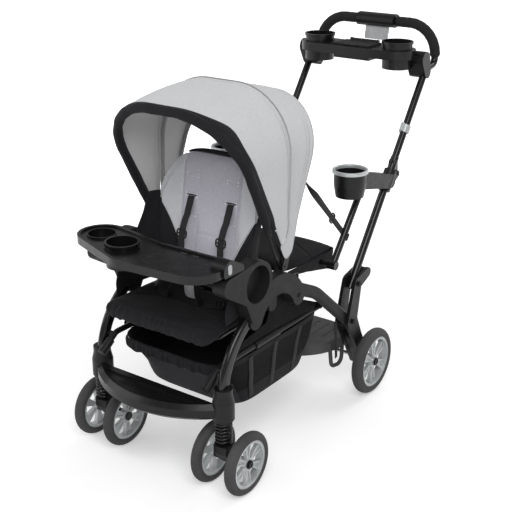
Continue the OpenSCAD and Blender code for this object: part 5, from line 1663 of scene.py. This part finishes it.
class STROLLER_OT_tyres(bpy.types.Operator):
    """Turns the six tyres with their tread sipes and sidewall beads."""

    bl_idname = "stroller.tyres"
    bl_label = "Tyres"

    def execute(self, context):
        for side in ("left", "right"):
            for place in ("outer", "inner"):
                self.tyre(f"front_tyre_{side}_{place}", f"front_wheel_{side}_{place}", *FRONT_TYRE)
            self.tyre(f"rear_tyre_{side}", f"rear_wheel_{side}", *REAR_TYRE)
        return {"FINISHED"}

    def tyre(self, node, body, deep, sipes):
        """One tyre turned in the place of its solid."""
        low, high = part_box(node)
        centre = (Vector(low) + Vector(high)) / 2
        r, half = (high[2] - low[2]) / 2 / MM, (high[0] - low[0]) / MM / 2
        inner, shoulder = r - deep, r - half
        bead = [(inner, -half), (shoulder - 5, -half), (shoulder - 4, -half + 0.7),
                (shoulder - 2.4, -half + 0.7), (shoulder - 1.4, -half)]
        profile = bead + [(shoulder + half * cosd(a), half * sind(a)) for a in np.linspace(-90, 90, 19)]
        profile += [(a, -b) for a, b in reversed(bead)]
        profile += [(inner, half / 2), (inner, 0), (inner, -half / 2)]
        steps = sipes * STEPS_PER_SIPE
        rings = []
        for i in range(steps):
            turn = 2 * math.pi * i / steps
            ring = []
            for a, b in profile:
                crown = (a - shoulder) / half
                if crown > TREAD_START:
                    phase = (i / STEPS_PER_SIPE + abs(b) * SIPE_LEAN) % 1.0
                    cut = SIPE_DEPTH if phase < 0.25 else 0.0
                    cut += GROOVE[0] * math.exp(-((abs(b) - GROOVE[1]) / GROOVE[2]) ** 2)
                    a -= cut * min(1, (crown - TREAD_START) * 6)
                ring.append(centre + Vector((b, a * math.cos(turn), a * math.sin(turn))) * MM)
            rings.append(ring)
        rings.append(rings[0])
        obj = lofted(node + "_tread", rings, caps=False)
        m = obj.modifiers.new("close", "WELD")
        m.merge_threshold = 1e-6
        settle(obj)
        furthest = max(obj.data.polygons, key=lambda q: (q.center - centre).length)
        face_out(obj, lambda c: c - centre, furthest.index)
        clothe(obj, finish("tyre"))
        keep(obj, body, "tyre", node)


# Radius of the springs' wire, and how many turns they have
SPRING_WIRE = 3.0 * MM
SPRING_TURNS = 6


class STROLLER_OT_springs(bpy.types.Operator):
    """Winds the open coil spring of each caster."""

    bl_idname = "stroller.springs"
    bl_label = "Springs"

    def execute(self, context):
        for side, sign in (("left", 1), ("right", -1)):
            low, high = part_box("caster_spring_" + side)
            centre = (Vector(low) + Vector(high)) / 2
            ring = (high[0] - low[0]) / 2 - SPRING_WIRE
            rise = high[2] - low[2] - 2 * SPRING_WIRE
            last = 2 * math.pi * SPRING_TURNS
            line = [Vector((centre.x + sign * ring * math.cos(a), centre.y + ring * math.sin(a),
                            low[2] + SPRING_WIRE + rise * a / last)) for a in np.linspace(0, last, 289)]
            obj = clothe(tube("coil_spring_" + side, line, SPRING_WIRE, 12), finish("gloss_black"))
            keep(obj, "caster_" + side, "satin_black", "caster_spring_" + side)
            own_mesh(obj)
        return {"FINISHED"}


# The hub's arc: its centre, the screws' circle and their angles, and the hub's face beside the frame's tube
HUB_CENTRE, HUB_CIRCLE, HUB_ANGLES = (200, 400), 107, (24, 156)
HUB_FACE = FRAME_X + 16
# The leg bracket's face, and its bolts' places back and up
LEG_FACE = FRAME_X + 12.6 + 10 + 2
LEG_BOLTS = ((579, 262), (605, 373.8))
# Radius and height of the heads, in metres
HUB_SCREW, LEG_BOLT = (0.0062, 0.0022), (0.0085, 0.004)
CAP_HEIGHT = 0.003
# Wheel caps: which wheels, the end of their names and the radius
WHEEL_CAPS = (("rear", "", 0.0125), ("front", "_outer", 0.0105))


class STROLLER_OT_fasteners(bpy.types.Operator):
    """Sets the screws and bolt heads on the hubs, legs and wheels."""

    bl_idname = "stroller.fasteners"
    bl_label = "Fasteners"

    def execute(self, context):
        y, z = HUB_CENTRE
        screws = [(s * HUB_FACE, y + HUB_CIRCLE * cosd(a), z + HUB_CIRCLE * sind(a), s)
                  for s in (-1, 1) for a in HUB_ANGLES]
        self.screws("hub_screws", screws, "chassis", *HUB_SCREW)
        bolts = [(s * LEG_FACE, y, z, s) for s in (-1, 1) for y, z in LEG_BOLTS]
        self.screws("leg_bolts", bolts, "rear_frame", *LEG_BOLT)
        for side, sign in (("left", 1), ("right", -1)):
            for wheel, place, radius in WHEEL_CAPS:
                low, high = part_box(wheel + "_rim_" + side + place)
                face = high[0] if sign > 0 else low[0]
                cap = (face, (low[1] + high[1]) / 2 - AXLE_Y, (low[2] + high[2]) / 2)
                self.screws(wheel + "_cap_" + side, [tuple(c / MM for c in cap) + (sign,)],
                            wheel + "_wheel_" + side + place, radius, CAP_HEIGHT)
        return {"FINISHED"}

    def screws(self, name, places, body, radius, height):
        """Screw heads at places, each one x, y and z in millimetres and the side that it faces."""
        proud = height * 0.4 / MM
        mesh = bpy.data.meshes.new(name)
        mesh.from_pydata([tuple(at(x + s * proud, y, z)) for x, y, z, s in places], [], [])
        facing = mesh.attributes.new("facing", "FLOAT_VECTOR", "POINT")
        facing.data.foreach_set("vector", [c for _, _, _, s in places for c in (s, 0, 0)])
        obj = grown(added(name, mesh), screw_tree(), finish("satin_black"), Radius=radius, Height=height)
        keep(obj, body, "satin_black")


class STROLLER_PT_panel(bpy.types.Panel):
    """Lists the sizes, the colours and one button for each group of pieces."""

    bl_idname = "STROLLER_PT_panel"
    bl_label = "Stroller"
    bl_space_type = "VIEW_3D"
    bl_region_type = "UI"
    bl_category = "Stroller"

    def draw(self, context):
        layout = self.layout
        for group in (context.scene.stroller_sizes, context.scene.stroller_colours):
            box = layout.box()
            for key in group.__annotations__:
                box.prop(group, key)
        for step in STEPS:
            layout.operator("stroller." + step)


STEPS = ["finishes", "canopy", "binding", "seat_back", "harness", "seat_sides", "cushions", "basket",
         "straps", "grips", "tyres", "springs", "fasteners", "stage"]
CLASSES = (
    StrollerSizes, StrollerColours, STROLLER_OT_finishes, STROLLER_OT_canopy, STROLLER_OT_binding,
    STROLLER_OT_seat_back, STROLLER_OT_harness, STROLLER_OT_seat_sides, STROLLER_OT_cushions,
    STROLLER_OT_basket, STROLLER_OT_straps, STROLLER_OT_grips, STROLLER_OT_tyres, STROLLER_OT_springs,
    STROLLER_OT_fasteners, STROLLER_OT_stage, STROLLER_PT_panel,
)


def register():
    for c in CLASSES:
        bpy.utils.register_class(c)
    bpy.types.Scene.stroller_sizes = bpy.props.PointerProperty(type=StrollerSizes)
    bpy.types.Scene.stroller_colours = bpy.props.PointerProperty(type=StrollerColours)


def unregister():
    del bpy.types.Scene.stroller_colours
    del bpy.types.Scene.stroller_sizes
    for c in reversed(CLASSES):
        bpy.utils.unregister_class(c)


def main():
    register()
    for step in STEPS:
        getattr(bpy.ops.stroller, step)()


if __name__ == "__main__":
    main()
